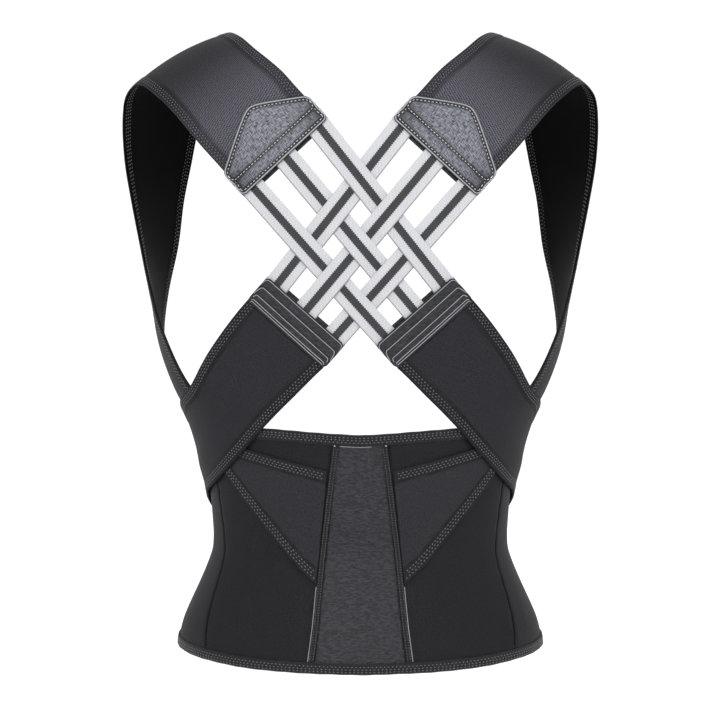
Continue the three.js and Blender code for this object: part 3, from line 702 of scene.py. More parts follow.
# %% Band sizes
PANEL_THICKNESS = 2
BINDING_THICKNESS = 0.8
BINDING_WIDTH = 9.5
SEAM_TOP_OFFSET = 20.3
SEAM_HEM_OFFSET = 40
CHANNEL_WIDTH = 4.5
CHANNEL_HEIGHT = 1.9
WING_THICKNESS = 1.5
FRONT_LAP = 17
LAP_RAMP = 9
PANEL_LIFT = BINDING_THICKNESS + LAYER_GAP
PANEL_TOP = PANEL_LIFT + PANEL_THICKNESS
BINDING_TOP = PANEL_TOP + LAYER_GAP + BINDING_THICKNESS
TRIM_LIFT = PANEL_TOP + LAYER_GAP
LAP_STEP = BINDING_TOP + LAYER_GAP
WRAP_END = 180 + FRONT_LAP
SEAM_GAP_ANGLE = np.degrees(SEAM_GAP / (WAIST_WIDTH / 2))

BAND_EDGE = table_of(("angle", "top", "hem"), [
    (0, 0.95, 1),
    (30, 0.99, 0.98),
    (60, 1, 0.945),
    (90, 0.97, 0.93),
    (110, 0.83, 0.925),
    (130, 0.63, 0.92),
    (150, 0.53, 0.92),
    (180, 0.51, 0.92),
    (210, 0.51, 0.92),
])
SIDE_SEAM = table_of(("height", "angle"), [
    (0, 53),
    (0.3, 61),
    (0.6, 65),
    (0.8, 67),
    (1, 68),
])
print("tops of panels and bindings", [round(top, 1) for top in (PANEL_TOP, BINDING_TOP)], "mm off the form")


# %% Band edges and seams
def top_edge(angle):
    return BAND_RISE * read_table(BAND_EDGE, "angle", "top", np.abs(angle))


def hem_edge(angle):
    return -HEM_DROP * read_table(BAND_EDGE, "angle", "hem", np.abs(angle))


def lap_lift(angle):
    """The left end steps outward to lap over the right one."""
    ramp_end = 180 - FRONT_LAP - BUTT_GAP
    return LAP_STEP * smooth(-np.asarray(angle, float), ramp_end - LAP_RAMP, ramp_end)


def centre_seam(share):
    height = lerp(-HEM_DROP, BAND_RISE, share)
    return back_angle(lerp(SEAM_HEM_OFFSET, SEAM_TOP_OFFSET, share), height, PANEL_TOP)


def side_seam(share):
    return read_table(SIDE_SEAM, "height", "angle", share)


def panel_surface(from_angle, to_angle):
    """The rule of a panel: u from seam to seam, v from hem to top."""
    def surface(u, v, lift):
        angle = lerp(from_angle(v), to_angle(v), u)
        edge = BINDING_THICKNESS + LAYER_GAP
        height = lerp(hem_edge(angle) + edge, top_edge(angle) - edge, v)
        return form_point(angle, height, lift + lap_lift(angle))
    return surface


print("band height at the back", round(float(top_edge(0) - hem_edge(0))), "mm")

# %% [markdown]
# Cloth under tension puckers beside a seam and stays smooth in the middle of a panel. The relief
# adds shallow level puckers that fade away from the seam, and a slow waviness everywhere. It moves
# the vertices, not only the light, so the puckers also show in the mesh.

# %% Relief of a panel
PUCKER_HEIGHT = 0.22
PUCKER_REACH = 7
PUCKER_WAVE = 2.6
PANEL_SWAY = 0.12
PANEL_SINK = 0.1
SEAM_DIP = 0.5
SEAM_DIP_WIDTH = 1.1
SEAM_PAINTED_SHADE = 0.75
SEAM_PAINTED_SHADE_WIDTH = 1.3
PANEL_SPACING = 2.2


def dip(distance, width):
    """A smooth bell: 1 at no distance, and little past twice the width."""
    return np.exp(-(distance / width) ** 2)


def panel_relief(run, cross, edge):
    fade = np.exp(-edge["ends"] / PUCKER_REACH)
    pucker = PUCKER_HEIGHT * fade * np.sin(cross / PUCKER_WAVE + 0.7 * np.sin(cross / 11))
    sway = PANEL_SWAY * np.sin(run / 17 + 1.3) * np.sin(cross / 23)
    return pucker + sway - SEAM_DIP * dip(edge["ends"], SEAM_DIP_WIDTH) - PANEL_SINK


# Painted shade: the colour darkens in the seam grooves at both ends of a panel.
def panel_shade(run, cross, edge):
    return 1 - SEAM_PAINTED_SHADE * dip(edge["ends"], SEAM_PAINTED_SHADE_WIDTH)


# %% Panels
half_gap = SEAM_GAP_ANGLE / 2
PANELS = {
    "back_center_panel": (lambda v: half_gap - centre_seam(v), lambda v: centre_seam(v) - half_gap),
    "waist_back": (lambda v: half_gap - side_seam(v), lambda v: -centre_seam(v) - half_gap),
    "front_wrap_left": (lambda v: -side_seam(v) - half_gap, lambda v: 0 * v - WRAP_END),
    "front_wrap_right": (lambda v: side_seam(v) + half_gap, lambda v: 0 * v + WRAP_END),
}
panel_plans = {}
for panel_name, seams in PANELS.items():
    panel_plans[panel_name] = sheet_plan(
        panel_surface(*seams), (0, 1), (0, 1), PANEL_LIFT, PANEL_THICKNESS, PANEL_SPACING,
        panel_relief, panel_shade)

centre_panel = sheet_piece("center_panel_film", panel_plans["back_center_panel"], (smooth_film, lining))
settle(centre_panel, "smooth_leatherette", "back_center_panel")
declare_cloth(centre_panel, panel_plans["back_center_panel"])
for side, word in SIDES:
    back_panel = sheet_piece(f"back_panel_cloth_{word}", panel_plans["waist_back"],
                             (panel_cloth_painted_shade, lining), side)
    settle(back_panel, "knit_fabric", f"waist_back_{word}")
    declare_cloth(back_panel, panel_plans["waist_back"])
    wrap = sheet_piece(f"front_wrap_cloth_{word}", panel_plans[f"front_wrap_{word}"], (knit_cloth, lining))
    settle(wrap, "knit_fabric", f"front_wrap_{word}")
    declare_cloth(wrap, panel_plans[f"front_wrap_{word}"])

# %% [markdown]
# ### Bindings
#
# A binding is a tape folded over the raw edge of the band. Across the tape its rule goes down the
# outer leg, round the fold and up the inner leg, and the lift stands square to that path. A bevelled
# strip would look alike, but this way the tape keeps its real width. The same rule serves both
# edges, turned over for the hem.

# %% Bindings
FOLD_RADIUS = (BINDING_TOP - BINDING_THICKNESS) / 2
BINDING_LEG = BINDING_WIDTH - BINDING_TOP / 2
TAPE_WIDTH = 2 * BINDING_LEG + np.pi * FOLD_RADIUS
TAPE_PUCKER = 0.1
TAPE_SWAY = 0.06
BINDING_SPACING = 1.9


def binding_surface(edge_height, inward):
    """The rule of a binding: u is the angle round the body, v goes across the tape."""
    def surface(u, v, lift):
        travel = v * TAPE_WIDTH
        turn = np.clip((travel - BINDING_LEG) / FOLD_RADIUS, 0, np.pi)
        leg = np.maximum(BINDING_LEG - travel, travel - BINDING_LEG - np.pi * FOLD_RADIUS)
        radius = FOLD_RADIUS + lift
        level = BINDING_TOP / 2 + radius * np.cos(turn) + lap_lift(u)
        reach = BINDING_TOP / 2 - radius * np.sin(turn) + np.maximum(leg, 0)
        return form_point(u, edge_height(u) + inward * reach, level)
    return surface


def binding_relief(run, cross, edge):
    pucker = TAPE_PUCKER * np.sin(run / 2.9) * smooth(edge["sides"], 0, 2)
    return pucker + TAPE_SWAY * np.sin(run / 8.3)


binding_plans = {}
for binding_name, edge_rule, inward in (("top_binding", top_edge, -1), ("bottom_binding", hem_edge, 1)):
    plan = sheet_plan(binding_surface(edge_rule, inward), (-WRAP_END, WRAP_END), (0, 1),
                      -BINDING_THICKNESS / 2, BINDING_THICKNESS, BINDING_SPACING, binding_relief)
    binding_plans[binding_name] = plan
    binding = sheet_piece(f"{binding_name}_tape", plan, (tape,))
    settle(binding, "binding_tape", binding_name)
    declare_cloth(binding, plan)

# %% [markdown]
# ### Seam tapes, channels and wings
#
# A thin tape backs each seam of the band from inside. A channel, a narrow sleeve over a flat spine,
# is sewn over each seam of the centre panel. A wing is one more layer of knit that fans out from
# the channel and slips under the cross strap. Its two long edges are turned under and sewn flat.
# All of them follow the same form at a larger or smaller lift, so they are sheets like the panels.

# %% Seam tapes
SEAM_TAPE_WIDTH = 14
SEAM_TAPE_THICKNESS = 0.6
SEAM_TAPE_LIFT = 0.35
SEAM_TAPE_SPACING = 3


def seam_tape_surface(seam):
    """The rule of a tape: u across, centred on the seam, and v from hem to top."""
    half = np.degrees(SEAM_TAPE_WIDTH / 2 / (WAIST_WIDTH / 2))

    def surface(u, v, lift):
        angle = -seam(v) + lerp(-half, half, u)
        end = BINDING_WIDTH + BUTT_GAP
        return form_point(angle, lerp(hem_edge(angle) + end, top_edge(angle) - end, v), lift)
    return surface


for seam_name, seam in (("side", side_seam), ("centre", centre_seam)):
    tape_plan = sheet_plan(seam_tape_surface(seam), (0, 1), (0, 1), SEAM_TAPE_LIFT,
                           SEAM_TAPE_THICKNESS, SEAM_TAPE_SPACING)
    add_pair(f"{seam_name}_seam_tape", tape_plan, (tape,), "binding_tape")

# %% Channels
CHANNEL_SINK = 0.15
CHANNEL_QUILT = 0.2
CHANNEL_QUILT_SIZE = 0.9
CHANNEL_SPACING = 0.7


def channel_surface(u, v, lift):
    """The rule of a channel: u from hem to top, v across."""
    seam = -centre_seam(u)
    end = BINDING_WIDTH + LAYER_GAP
    height = lerp(hem_edge(seam) + end, top_edge(seam) - end, u)
    across = form_point(seam, height, TRIM_LIFT)[..., 0] + (v - 0.5) * CHANNEL_WIDTH
    return back_point(across, height, lift)


def channel_relief(run, cross, edge):
    """Small pads between the stitches along both sides."""
    quilt = np.sin(run / CHANNEL_QUILT_SIZE) * np.exp(-edge["sides"] / CHANNEL_QUILT_SIZE)
    return CHANNEL_QUILT * quilt - CHANNEL_SINK


channel_plan = sheet_plan(channel_surface, (0, 1), (0, 1), TRIM_LIFT, CHANNEL_HEIGHT, CHANNEL_SPACING,
                          channel_relief)
add_pair("channel_sleeve", channel_plan, (tape,), "smooth_leatherette", "channel", cut=False)

# %% Wings
WING_END_ANGLE = 55
WING_HEM = 9
WING_HEM_RISE = 0.3
WING_FOLD_RISE = 0.9
WING_FOLD_WIDTH = 6
WING_SPACING = 1.5
WING = table_of(("out", "lower", "upper"), [
    (0, -0.2, 0.675),
    (0.25, -0.02, 0.73),
    (0.5, 0.19, 0.785),
    (0.75, 0.4, 0.83),
    (1, 0.6, 0.87),
])


def wing_surface(u, v, lift):
    """The rule of a wing: u from the channel outward, v from its lower to its upper edge."""
    lower = BAND_RISE * read_table(WING, "out", "lower", u)
    upper = BAND_RISE * read_table(WING, "out", "upper", u)
    height = lerp(lower, upper, v)
    share = (height + HEM_DROP) / (BAND_RISE + HEM_DROP)
    seam = form_point(-centre_seam(share), height, TRIM_LIFT)[..., 0] - CHANNEL_WIDTH / 2 - LAYER_GAP
    angle = lerp(back_angle(seam, height, TRIM_LIFT), -WING_END_ANGLE, u)
    return form_point(angle, height, lift)


# %% Hems
HEM_GROOVE = 0.22
HEM_QUILT = 0.1
HEM_SWAY = 0.18
HEM_TONE = 0.3
GROOVE_PAINTED_SHADE = 0.6
SHADE_FADE_START = 35
SHADE_FADE_END = 125


def hem_relief(width, rise):
    """A turned-under hem: thicker cloth along both sides, with a groove where it ends."""
    def relief(run, cross, edge):
        strip = rise * (1 - smooth(edge["sides"], width - 0.6, width + 0.4))
        groove = HEM_GROOVE * dip(edge["sides"] - width - 0.5, 0.6)
        quilt = HEM_QUILT * np.sin(run / 1.05) * dip(edge["sides"] - width / 2, 2.5)
        sway = HEM_SWAY * np.sin(run / 19 + 0.8) * np.sin(cross / 16 + 0.4)
        return strip - groove + quilt + sway
    return relief


def hem_shade(width, strip, fade=0):
    """A hem is darker than the rest, with painted shade in its groove and, given a fade, away from the tab.
    """
    def shade(run, cross, edge):
        hem = strip * (1 - smooth(edge["sides"], width - 0.8, width + 0.2))
        groove = GROOVE_PAINTED_SHADE * dip(edge["sides"] - width - 0.4, 0.8)
        return np.maximum(1 - hem - groove, 0) * (1 - fade * smooth(run, SHADE_FADE_START, SHADE_FADE_END))
    return shade


def wing_relief(run, cross, edge):
    """The lower hem stands a little proud, so it throws a shadow on the panel."""
    hem = hem_relief(WING_HEM, WING_HEM_RISE)(run, cross, edge)
    return hem + WING_FOLD_RISE * dip(cross, WING_FOLD_WIDTH)


wing_plan = sheet_plan(wing_surface, (0, 1), (0, 1), TRIM_LIFT, WING_THICKNESS, WING_SPACING,
                       wing_relief, hem_shade(WING_HEM, HEM_TONE))
add_pair("wing_cloth", wing_plan, (wing_cloth,), "knit_fabric", "wing")

# %% [markdown]
# ## Tabs on the back
#
# A tab is two plies of leatherette with a strap caught between them on one side and three
# elastics on the other. Its frame is flat on the back: one axis along the edge that holds the
# elastics and one out towards the strap. The upper tab ends in a blunt peak. The lower tab is a
# short band with three sewn ribs. Corners are round, which pulls the edges in near the sides. A
# Boolean could cut the same outline, but a rule gives the rim even faces for its rolled edge.

# %% Tab sizes
STRAP_THICKNESS = 2.2
SHOULDER_STRAP_WIDTH = 88
CROSS_STRAP_WIDTH = 81
TAB_PLY = 1.4
TAB_RIB = 0.7
UPPER_TAB = {"across": -0.158, "up": 0.756, "turn": 47.5, "width": 92.4}
LOWER_TAB = {"across": -0.1147, "up": 0.4712, "turn": -48.5, "width": 83}
UPPER_TAB_SIDE = 25
UPPER_TAB_PEAK = 50
LOWER_TAB_LENGTH = 25.5
TAB_CORNER = 4
PEAK_ASIDE = 5
PEAK_DROP = 4
BACK_PLY_SHOW = 3
TAB_INSERT = 11
CORE_LIFT = LAYER_GAP + TAB_PLY + LAYER_GAP
FRONT_PLY_LIFT = CORE_LIFT + STRAP_THICKNESS + LAYER_GAP
print("front plies lie", round(FRONT_PLY_LIFT, 1), "mm off the form")


# %% Tab shapes
def tab_frame(tab):
    """Across and up on the back, for a place along the elastic edge and a reach towards the strap."""
    turn = np.radians(tab["turn"])
    out_across, out_up = -np.cos(turn), np.sin(turn)
    along_across, along_up = abs(out_up), np.sign(turn) * np.cos(turn)

    def place(side, reach):
        across = tab["across"] * CHEST_WIDTH + side * along_across + reach * out_across
        return across, tab["up"] * SHOULDER_RISE + side * along_up + reach * out_up
    return place


def corner_pull(distance):
    inside = np.clip(TAB_CORNER - distance, 0, TAB_CORNER)
    return TAB_CORNER - np.sqrt(TAB_CORNER ** 2 - inside ** 2)


def peak_reach(side):
    """Two slopes that meet in a round peak. The apex is where they would meet if they ran on."""
    away = side - PEAK_ASIDE
    foot = UPPER_TAB["width"] / 2 - np.sign(away) * PEAK_ASIDE
    apex = UPPER_TAB_PEAK + PEAK_DROP
    slope = np.sqrt((apex - UPPER_TAB_SIDE) ** 2 - PEAK_DROP ** 2) / foot
    return apex - np.hypot(slope * away, PEAK_DROP)


print("the upper tab reaches", round(float(peak_reach(PEAK_ASIDE)), 1), "mm at its peak")


def lower_reach(side):
    return LOWER_TAB_LENGTH


upper_tab_at = tab_frame(UPPER_TAB)
lower_tab_at = tab_frame(LOWER_TAB)


def tab_surface(at, tab, reach_at, extra):
    """The rule of a ply: u across the tab in millimetres, v from the elastics to the strap."""
    def surface(u, v, lift):
        pull = corner_pull(tab["width"] / 2 - np.abs(u))
        return back_point(*at(u, lerp(pull - extra, reach_at(u) - pull, v)), lift)
    return surface


# %% [markdown]
# The front ply of the upper tab rolls over a cord at its rim and dips along its sewn lines. Two
# short tables give its profile from the rim inward: the first in height, the second in painted
# shade, which darkens its grooves. The lower ply is pulled down along four lines, so that soft
# ribs stand between them, and painted shade darkens those lines.

# %% Relief of the tabs
TAB_SEAM_INSET = 3.4
UPPER_CROSS_SEAM = 14.5
CROSS_SEAM_DIP = 0.45
RIM_PROFILE = table_of(("from_rim", "width", "height"), [
    (1.1, 0.8, 0.3),
    (2.3, 0.45, -0.5),
    (TAB_SEAM_INSET, 0.7, -0.45),
])
RIM_GROOVE_SHADES = table_of(("from_rim", "width"), [
    (0, 0.7),
    (2.4, 0.7),
    (TAB_SEAM_INSET + 0.3, 1.3),
])
PILLOW_HEIGHT = 0.45
TAB_SWAY = 0.1
DARKEST_GROOVE_SHADE = 0.98
CORNER_PAINTED_SHADE = 0.7
RIB_LINES = (1.6, 9.4, 17.2, 24)
RIB_LINE_DIP = 0.3
LOWER_TAB_TONE = 0.85
RIB_LINE_PAINTED_SHADE = 0.6


def upper_front_relief(run, cross, edge):
    rim = np.minimum(edge["sides"], edge["ends"])
    roll = sum(height * dip(rim - start, width) for start, width, height in zip(*RIM_PROFILE.values()))
    seams = -CROSS_SEAM_DIP * dip(cross - UPPER_CROSS_SEAM, 0.8)
    pillow = PILLOW_HEIGHT * smooth(rim, 3, 15)
    return roll + seams + pillow + TAB_SWAY * np.sin(run / 9) * np.sin(cross / 7)


def upper_front_shade(run, cross, edge):
    """Painted shade: black in the grooves, and darker towards the corners."""
    rim = np.minimum(edge["sides"], edge["ends"])
    grooves = sum(dip(rim - start, width) for start, width in zip(*RIM_GROOVE_SHADES.values()))
    across = dip(cross - UPPER_CROSS_SEAM, 1.9) * smooth(rim, 2, 3.4)
    corner = CORNER_PAINTED_SHADE * dip(edge["ends"] - 2, 15) * dip(cross, 34)
    return 1 - DARKEST_GROOVE_SHADE * np.minimum(grooves + across, 1) - corner


def from_rib_line(cross):
    return np.min([np.abs(cross - line) for line in RIB_LINES], axis=0)


def lower_front_relief(run, cross, edge):
    distance = from_rib_line(cross)
    ribs = TAB_RIB * smooth(distance, 0, 2.2) * smooth(edge["ends"], 0, 3)
    return ribs - RIB_LINE_DIP * dip(distance, 0.5)


# Painted shade darkens the lines between the ribs; the rest of the film is a darker tone of its own.
def lower_front_shade(run, cross, edge):
    return LOWER_TAB_TONE - RIB_LINE_PAINTED_SHADE * dip(from_rib_line(cross), 1.3)


# %% Tab plies
UPPER_PLY_SPACING = 0.8
LOWER_PLY_SPACING = 0.7
BACK_PLY_SPACING = 2


def add_ply(name, at, tab, reach_at, extra, lift, spacing, relief, shade, material, slot):
    half = tab["width"] / 2
    surface = tab_surface(at, tab, reach_at, extra)
    plan = sheet_plan(surface, (-half, half), (0, 1), lift, TAB_PLY, spacing, relief, shade)
    node = name.replace("_film", "_front").replace("_backing", "_back")
    add_pair(name, plan, (material,), slot, node, cut=False)
    return plan


upper_front = add_ply("upper_tab_film", upper_tab_at, UPPER_TAB, peak_reach, 0, FRONT_PLY_LIFT,
                      UPPER_PLY_SPACING, upper_front_relief, upper_front_shade, grained_film,
                      "grained_leatherette")
add_ply("upper_tab_backing", upper_tab_at, UPPER_TAB, peak_reach, BACK_PLY_SHOW, LAYER_GAP,
        BACK_PLY_SPACING, no_relief, plain_shade, smooth_film, "smooth_leatherette")
lower_front = add_ply("lower_tab_film", lower_tab_at, LOWER_TAB, lower_reach, 0, FRONT_PLY_LIFT,
                      LOWER_PLY_SPACING, lower_front_relief, lower_front_shade, smooth_film,
                      "smooth_leatherette")
add_ply("lower_tab_backing", lower_tab_at, LOWER_TAB, lower_reach, BACK_PLY_SHOW, LAYER_GAP,
        BACK_PLY_SPACING, no_relief, plain_shade, smooth_film, "smooth_leatherette")
print("upper tab grid", upper_front["cross"].shape, "lower tab grid", lower_front["cross"].shape)

# %% [markdown]
# ## Cross straps
#
# A cross strap leaves the lower tab, slopes down over the end of the shoulder strap and the edge
# of the band, and runs round the side to the front. A curve with a flat section would do for a
# straight strap, but the edges of this one lie on the form at unlike heights, so its rule reads a
# table of both edges. Its lift changes on the way, because it climbs over what it crosses.

# %% Cross strap
STRAP_EXIT = 3
STRAP_END_LIFT = BINDING_TOP + LAYER_GAP
CROSS_STRAP_LIFT = STRAP_END_LIFT + STRAP_THICKNESS + LAYER_GAP
STRAP_HEM = 9.7
STRAP_HEM_RISE = 0.35
CROSS_STRAP_CLIMB = 0.42
CROSS_STRAP_SPACING = 1.8
CROSS_COLUMNS = ("upper_angle", "upper", "upper_lift", "lower_angle", "lower", "lower_lift")
CROSS_ROWS = [
    (43, 0.402, 0.6, 18.5, 0.303, 0.45),
    (57, 0.324, 1.12, 29.5, 0.252, 0.7),
    (72, 0.29, 1.17, 45, 0.188, 0.75),
    (88, 0.256, 1.17, 62, 0.138, 0.5),
    (106, 0.21, 1.06, 83, 0.1, 0.38),
    (125, 0.152, 0.7, 108, 0.042, 0.36),
    (139, 0.1, 0.4, 129, -0.012, 0.36),
    (147, 0.068, 0.36, 142, -0.046, 0.36),
]


def cross_tab_row(reach):
    """The strap inside its tab, as a row of the same table."""
    row = []
    for side in (-CROSS_STRAP_WIDTH / 2, CROSS_STRAP_WIDTH / 2):
        across, up = lower_tab_at(side, reach)
        row += [-float(back_angle(across, up, CORE_LIFT)), up / SHOULDER_RISE, 0]
    return tuple(row)


cross_start = TAB_INSERT + BUTT_GAP
cross_reaches = (cross_start, (cross_start + LOWER_TAB_LENGTH) / 2, LOWER_TAB_LENGTH,
                 LOWER_TAB_LENGTH + STRAP_EXIT)
cross_rows = [cross_tab_row(reach) for reach in cross_reaches] + CROSS_ROWS
CROSS = table_of(("place", *CROSS_COLUMNS), [(place, *row) for place, row in enumerate(cross_rows)])


def cross_surface(u, v, lift):
    read = {column: read_table(CROSS, "place", column, u) for column in CROSS_COLUMNS}
    angle = lerp(read["lower_angle"], read["upper_angle"], v)
    height = SHOULDER_RISE * lerp(read["lower"], read["upper"], v)
    rise = lerp(read["lower_lift"], read["upper_lift"], smooth(v, 0, CROSS_STRAP_CLIMB))
    return form_point(-angle, height, lerp(CORE_LIFT, CROSS_STRAP_LIFT, rise) + lift)


cross_plan = sheet_plan(cross_surface, (0, len(cross_rows) - 1), (0, 1), 0, STRAP_THICKNESS,
                        CROSS_STRAP_SPACING, hem_relief(STRAP_HEM, STRAP_HEM_RISE),
                        hem_shade(STRAP_HEM, HEM_TONE))
add_pair("cross_strap_cloth", cross_plan, (knit_cloth, lining), "knit_fabric", "cross_strap")

# %% [markdown]
# ## Shoulder straps
#
# A shoulder strap leaves the wearer's form, goes over the shoulder, turns down in front of it and
# comes back under the arm to the band. Each row of the table gives the middle of the strap and the
# way that it leans, so it never twists, as a curve with a flat section would at the shoulder. For
# each line along the strap, a smooth curve runs through the rows.

# %% Shoulder strap rows
SHOULDER_COLUMNS = ("across", "forward", "up", "lean_x", "lean_y", "lean_z", "width", "bow")
SHOULDER_ROWS = [
    (-0.319, -0.293, 0.904, 0.82, 0.02, 0.57, 0.96, 0.045),
    (-0.358, -0.19, 0.933, 0.83, 0.12, 0.54, 0.97, 0.06),
    (-0.387, -0.077, 0.945, 0.81, 0.28, 0.51, 0.97, 0.07),
    (-0.408, 0.04, 0.934, 0.81, 0.44, 0.38, 0.97, 0.07),
    (-0.435, 0.13, 0.893, 0.83, 0.52, 0.2, 0.94, 0.06),
    (-0.455, 0.202, 0.828, 0.79, 0.61, -0.03, 0.88, 0.05),
    (-0.465, 0.271, 0.75, 0.71, 0.7, -0.04, 0.84, 0.05),
    (-0.468, 0.318, 0.674, 0.55, 0.84, 0, 0.83, 0.05),
    (-0.466, 0.32, 0.587, 0.37, 0.93, -0.07, 0.84, 0.05),
    (-0.468, 0.25, 0.512, 0.17, 0.94, -0.31, 0.87, 0.03),
    (-0.461, 0.148, 0.444, 0.05, 0.87, -0.5, 0.87, 0.03),
    (-0.441, 0.036, 0.388, 0.05, 0.8, -0.6, 0.87, 0.04),
]
SHOULDER_TOP = SHOULDER_ROWS[4][2]
SHOULDER_OUTWARD = (-0.3, 0, 0.7)
SHOULDER_END_ROWS = [
    (66, 0.355, 98, 0.265),
    (60, 0.316, 92, 0.222),
    (53, 0.272, 85, 0.17),
]
print("shoulder strap", len(SHOULDER_ROWS), "free rows and", len(SHOULDER_END_ROWS), "on the form")


def unit(vectors):
    return vectors / np.linalg.norm(vectors, axis=-1, keepdims=True)


def shoulder_tab_row(reach, v):
    spot = upper_tab_at((v - 0.5) * SHOULDER_STRAP_WIDTH, reach)
    return back_point(*spot, CORE_LIFT)


def shoulder_free_row(row, v):
    """One row of the free strap: a line that leans and bows outward."""
    read = dict(zip(SHOULDER_COLUMNS, row))
    depth = CHEST_DEPTH["back"] + CHEST_DEPTH["front"]
    centre = np.array([read["across"] * CHEST_WIDTH, read["forward"] * depth, read["up"] * SHOULDER_RISE])
    lean = unit(np.array([read["lean_x"], read["lean_y"], read["lean_z"]]))
    outward = np.array(SHOULDER_OUTWARD) if read["up"] > SHOULDER_TOP else centre * [1, 1, 0]
    outward = unit(outward)
    outward = unit(outward - lean * (outward @ lean))
    crown = read["bow"] * SHOULDER_STRAP_WIDTH * (1 - (2 * v - 1) ** 2)
    slide = (v - 0.5) * read["width"] * SHOULDER_STRAP_WIDTH
    return centre + slide[..., None] * lean + crown[..., None] * outward


def shoulder_end_row(row, v):
    arm_angle, arm, neck_angle, neck = row
    height = SHOULDER_RISE * lerp(arm, neck, v)
    return form_point(-lerp(arm_angle, neck_angle, v), height, STRAP_END_LIFT)


# %% Shoulder strap surface
SHOULDER_REACHES = (TAB_INSERT + BUTT_GAP, UPPER_TAB_SIDE, (UPPER_TAB_SIDE + UPPER_TAB_PEAK) / 2,
                    UPPER_TAB_PEAK + STRAP_EXIT)
SHOULDER_LAST = len(SHOULDER_REACHES) + len(SHOULDER_ROWS) + len(SHOULDER_END_ROWS) - 1
SLOPE_STEP = 0.2
SLOPE_SIDE_STEP = 0.04
SHOULDER_STRAP_SPACING = 2.1
SHOULDER_HEM_TONE = 0.6
# The shoulder strap's painted shade darkens it away from the tab.
SHOULDER_SHADE_FADE = 0.75


def through_rows(rows, place):
    """A centripetal Catmull-Rom curve through rows of points, read at a place along them."""
    rows = np.concatenate([[2 * rows[0] - rows[1]], rows, [2 * rows[-1] - rows[-2]]])
    i = np.clip(place.astype(int), 0, SHOULDER_LAST - 1)
    t = (place - i)[:, None]
    point = np.arange(len(place))
    p0, p1, p2, p3 = (rows[i + k, point] for k in range(4))
    spans = ((p0, p1), (p1, p2), (p2, p3))
    d0, d1, d2 = (np.linalg.norm(b - a, axis=1, keepdims=True) ** 0.5 for a, b in spans)
    start = ((p1 - p0) / d0 - (p2 - p0) / (d0 + d1) + (p2 - p1) / d1) * d1
    end = ((p2 - p1) / d1 - (p3 - p1) / (d1 + d2) + (p3 - p2) / d2) * d1
    return (p1 + start * t + (3 * (p2 - p1) - 2 * start - end) * t ** 2
            + (2 * (p1 - p2) + start + end) * t ** 3)


def shoulder_face(place, v):
    rows = [shoulder_tab_row(reach, v) for reach in SHOULDER_REACHES]
    rows += [shoulder_free_row(row, v) for row in SHOULDER_ROWS]
    rows += [shoulder_end_row(row, v) for row in SHOULDER_END_ROWS]
    return through_rows(np.array(rows), place)


def shoulder_surface(u, v, lift):
    """The rule of a shoulder strap: u counts the rows, v goes from the arm side to the neck side."""
    u, v, lift = np.broadcast_arrays(np.asarray(u, float), np.asarray(v, float), lift)
    place, across = u.ravel(), v.ravel()
    forward, back = np.minimum(place + SLOPE_STEP, SHOULDER_LAST), np.maximum(place - SLOPE_STEP, 0)
    ahead = shoulder_face(forward, across) - shoulder_face(back, across)
    over = (shoulder_face(place, np.minimum(across + SLOPE_SIDE_STEP, 1))
            - shoulder_face(place, np.maximum(across - SLOPE_SIDE_STEP, 0)))
    points = shoulder_face(place, across) + unit(np.cross(over, ahead)) * lift.ravel()[:, None]
    return points.reshape(*u.shape, 3)


shoulder_plan = sheet_plan(shoulder_surface, (0, SHOULDER_LAST), (0, 1), 0, STRAP_THICKNESS,
                           SHOULDER_STRAP_SPACING, hem_relief(STRAP_HEM, STRAP_HEM_RISE),
                           hem_shade(STRAP_HEM, SHOULDER_HEM_TONE, SHOULDER_SHADE_FADE))
add_pair("shoulder_strap_cloth", shoulder_plan, (strap_cloth, lining), "knit_fabric", "shoulder_strap")

# %% [markdown]
# ## Elastics
#
# Three elastics run from each upper tab to the lower tab on the other side, and cross three others
# in a plain weave: over one, under the next. A sine wave would weave them too, but crossings here
# lie at an angle and unevenly, so each is worked out. Between two crossings an elastic changes its
# lift along a smooth step, so it never cuts into its neighbours. Ribs stand across it.

# %% Elastics
ELASTIC_THICKNESS = 1.2
ELASTIC_MARGIN = 0.35
ELASTIC_LIFT = CORE_LIFT + STRAP_THICKNESS / 2
WEAVE_SPARE = 0.1
WEAVE_LIFT = (ELASTIC_THICKNESS + LAYER_GAP) / 2 + WEAVE_SPARE
RIB_HEIGHT = 0.09
LOWER_EDGE_SHADOW_INSET = 0.35
LOWER_EDGE_SHADOW_WIDTH = 0.4
LOWER_EDGE_SHADOW_TONE = 0.7
ELASTIC_SPACING = 0.7
upper_pitch = (UPPER_TAB["width"] - ELASTIC_WIDTH) / 2 - ELASTIC_MARGIN
lower_pitch = (LOWER_TAB["width"] - ELASTIC_WIDTH) / 2 - ELASTIC_MARGIN


def elastic_line(number):
    """Start, direction and length of an elastic, flat on the back."""
    start = np.array(upper_tab_at((2 - number) * upper_pitch, 0))
    end = np.array(lower_tab_at((number - 2) * lower_pitch, 0)) * [-1, 1]
    length = np.linalg.norm(end - start)
    return start, (end - start) / length, length


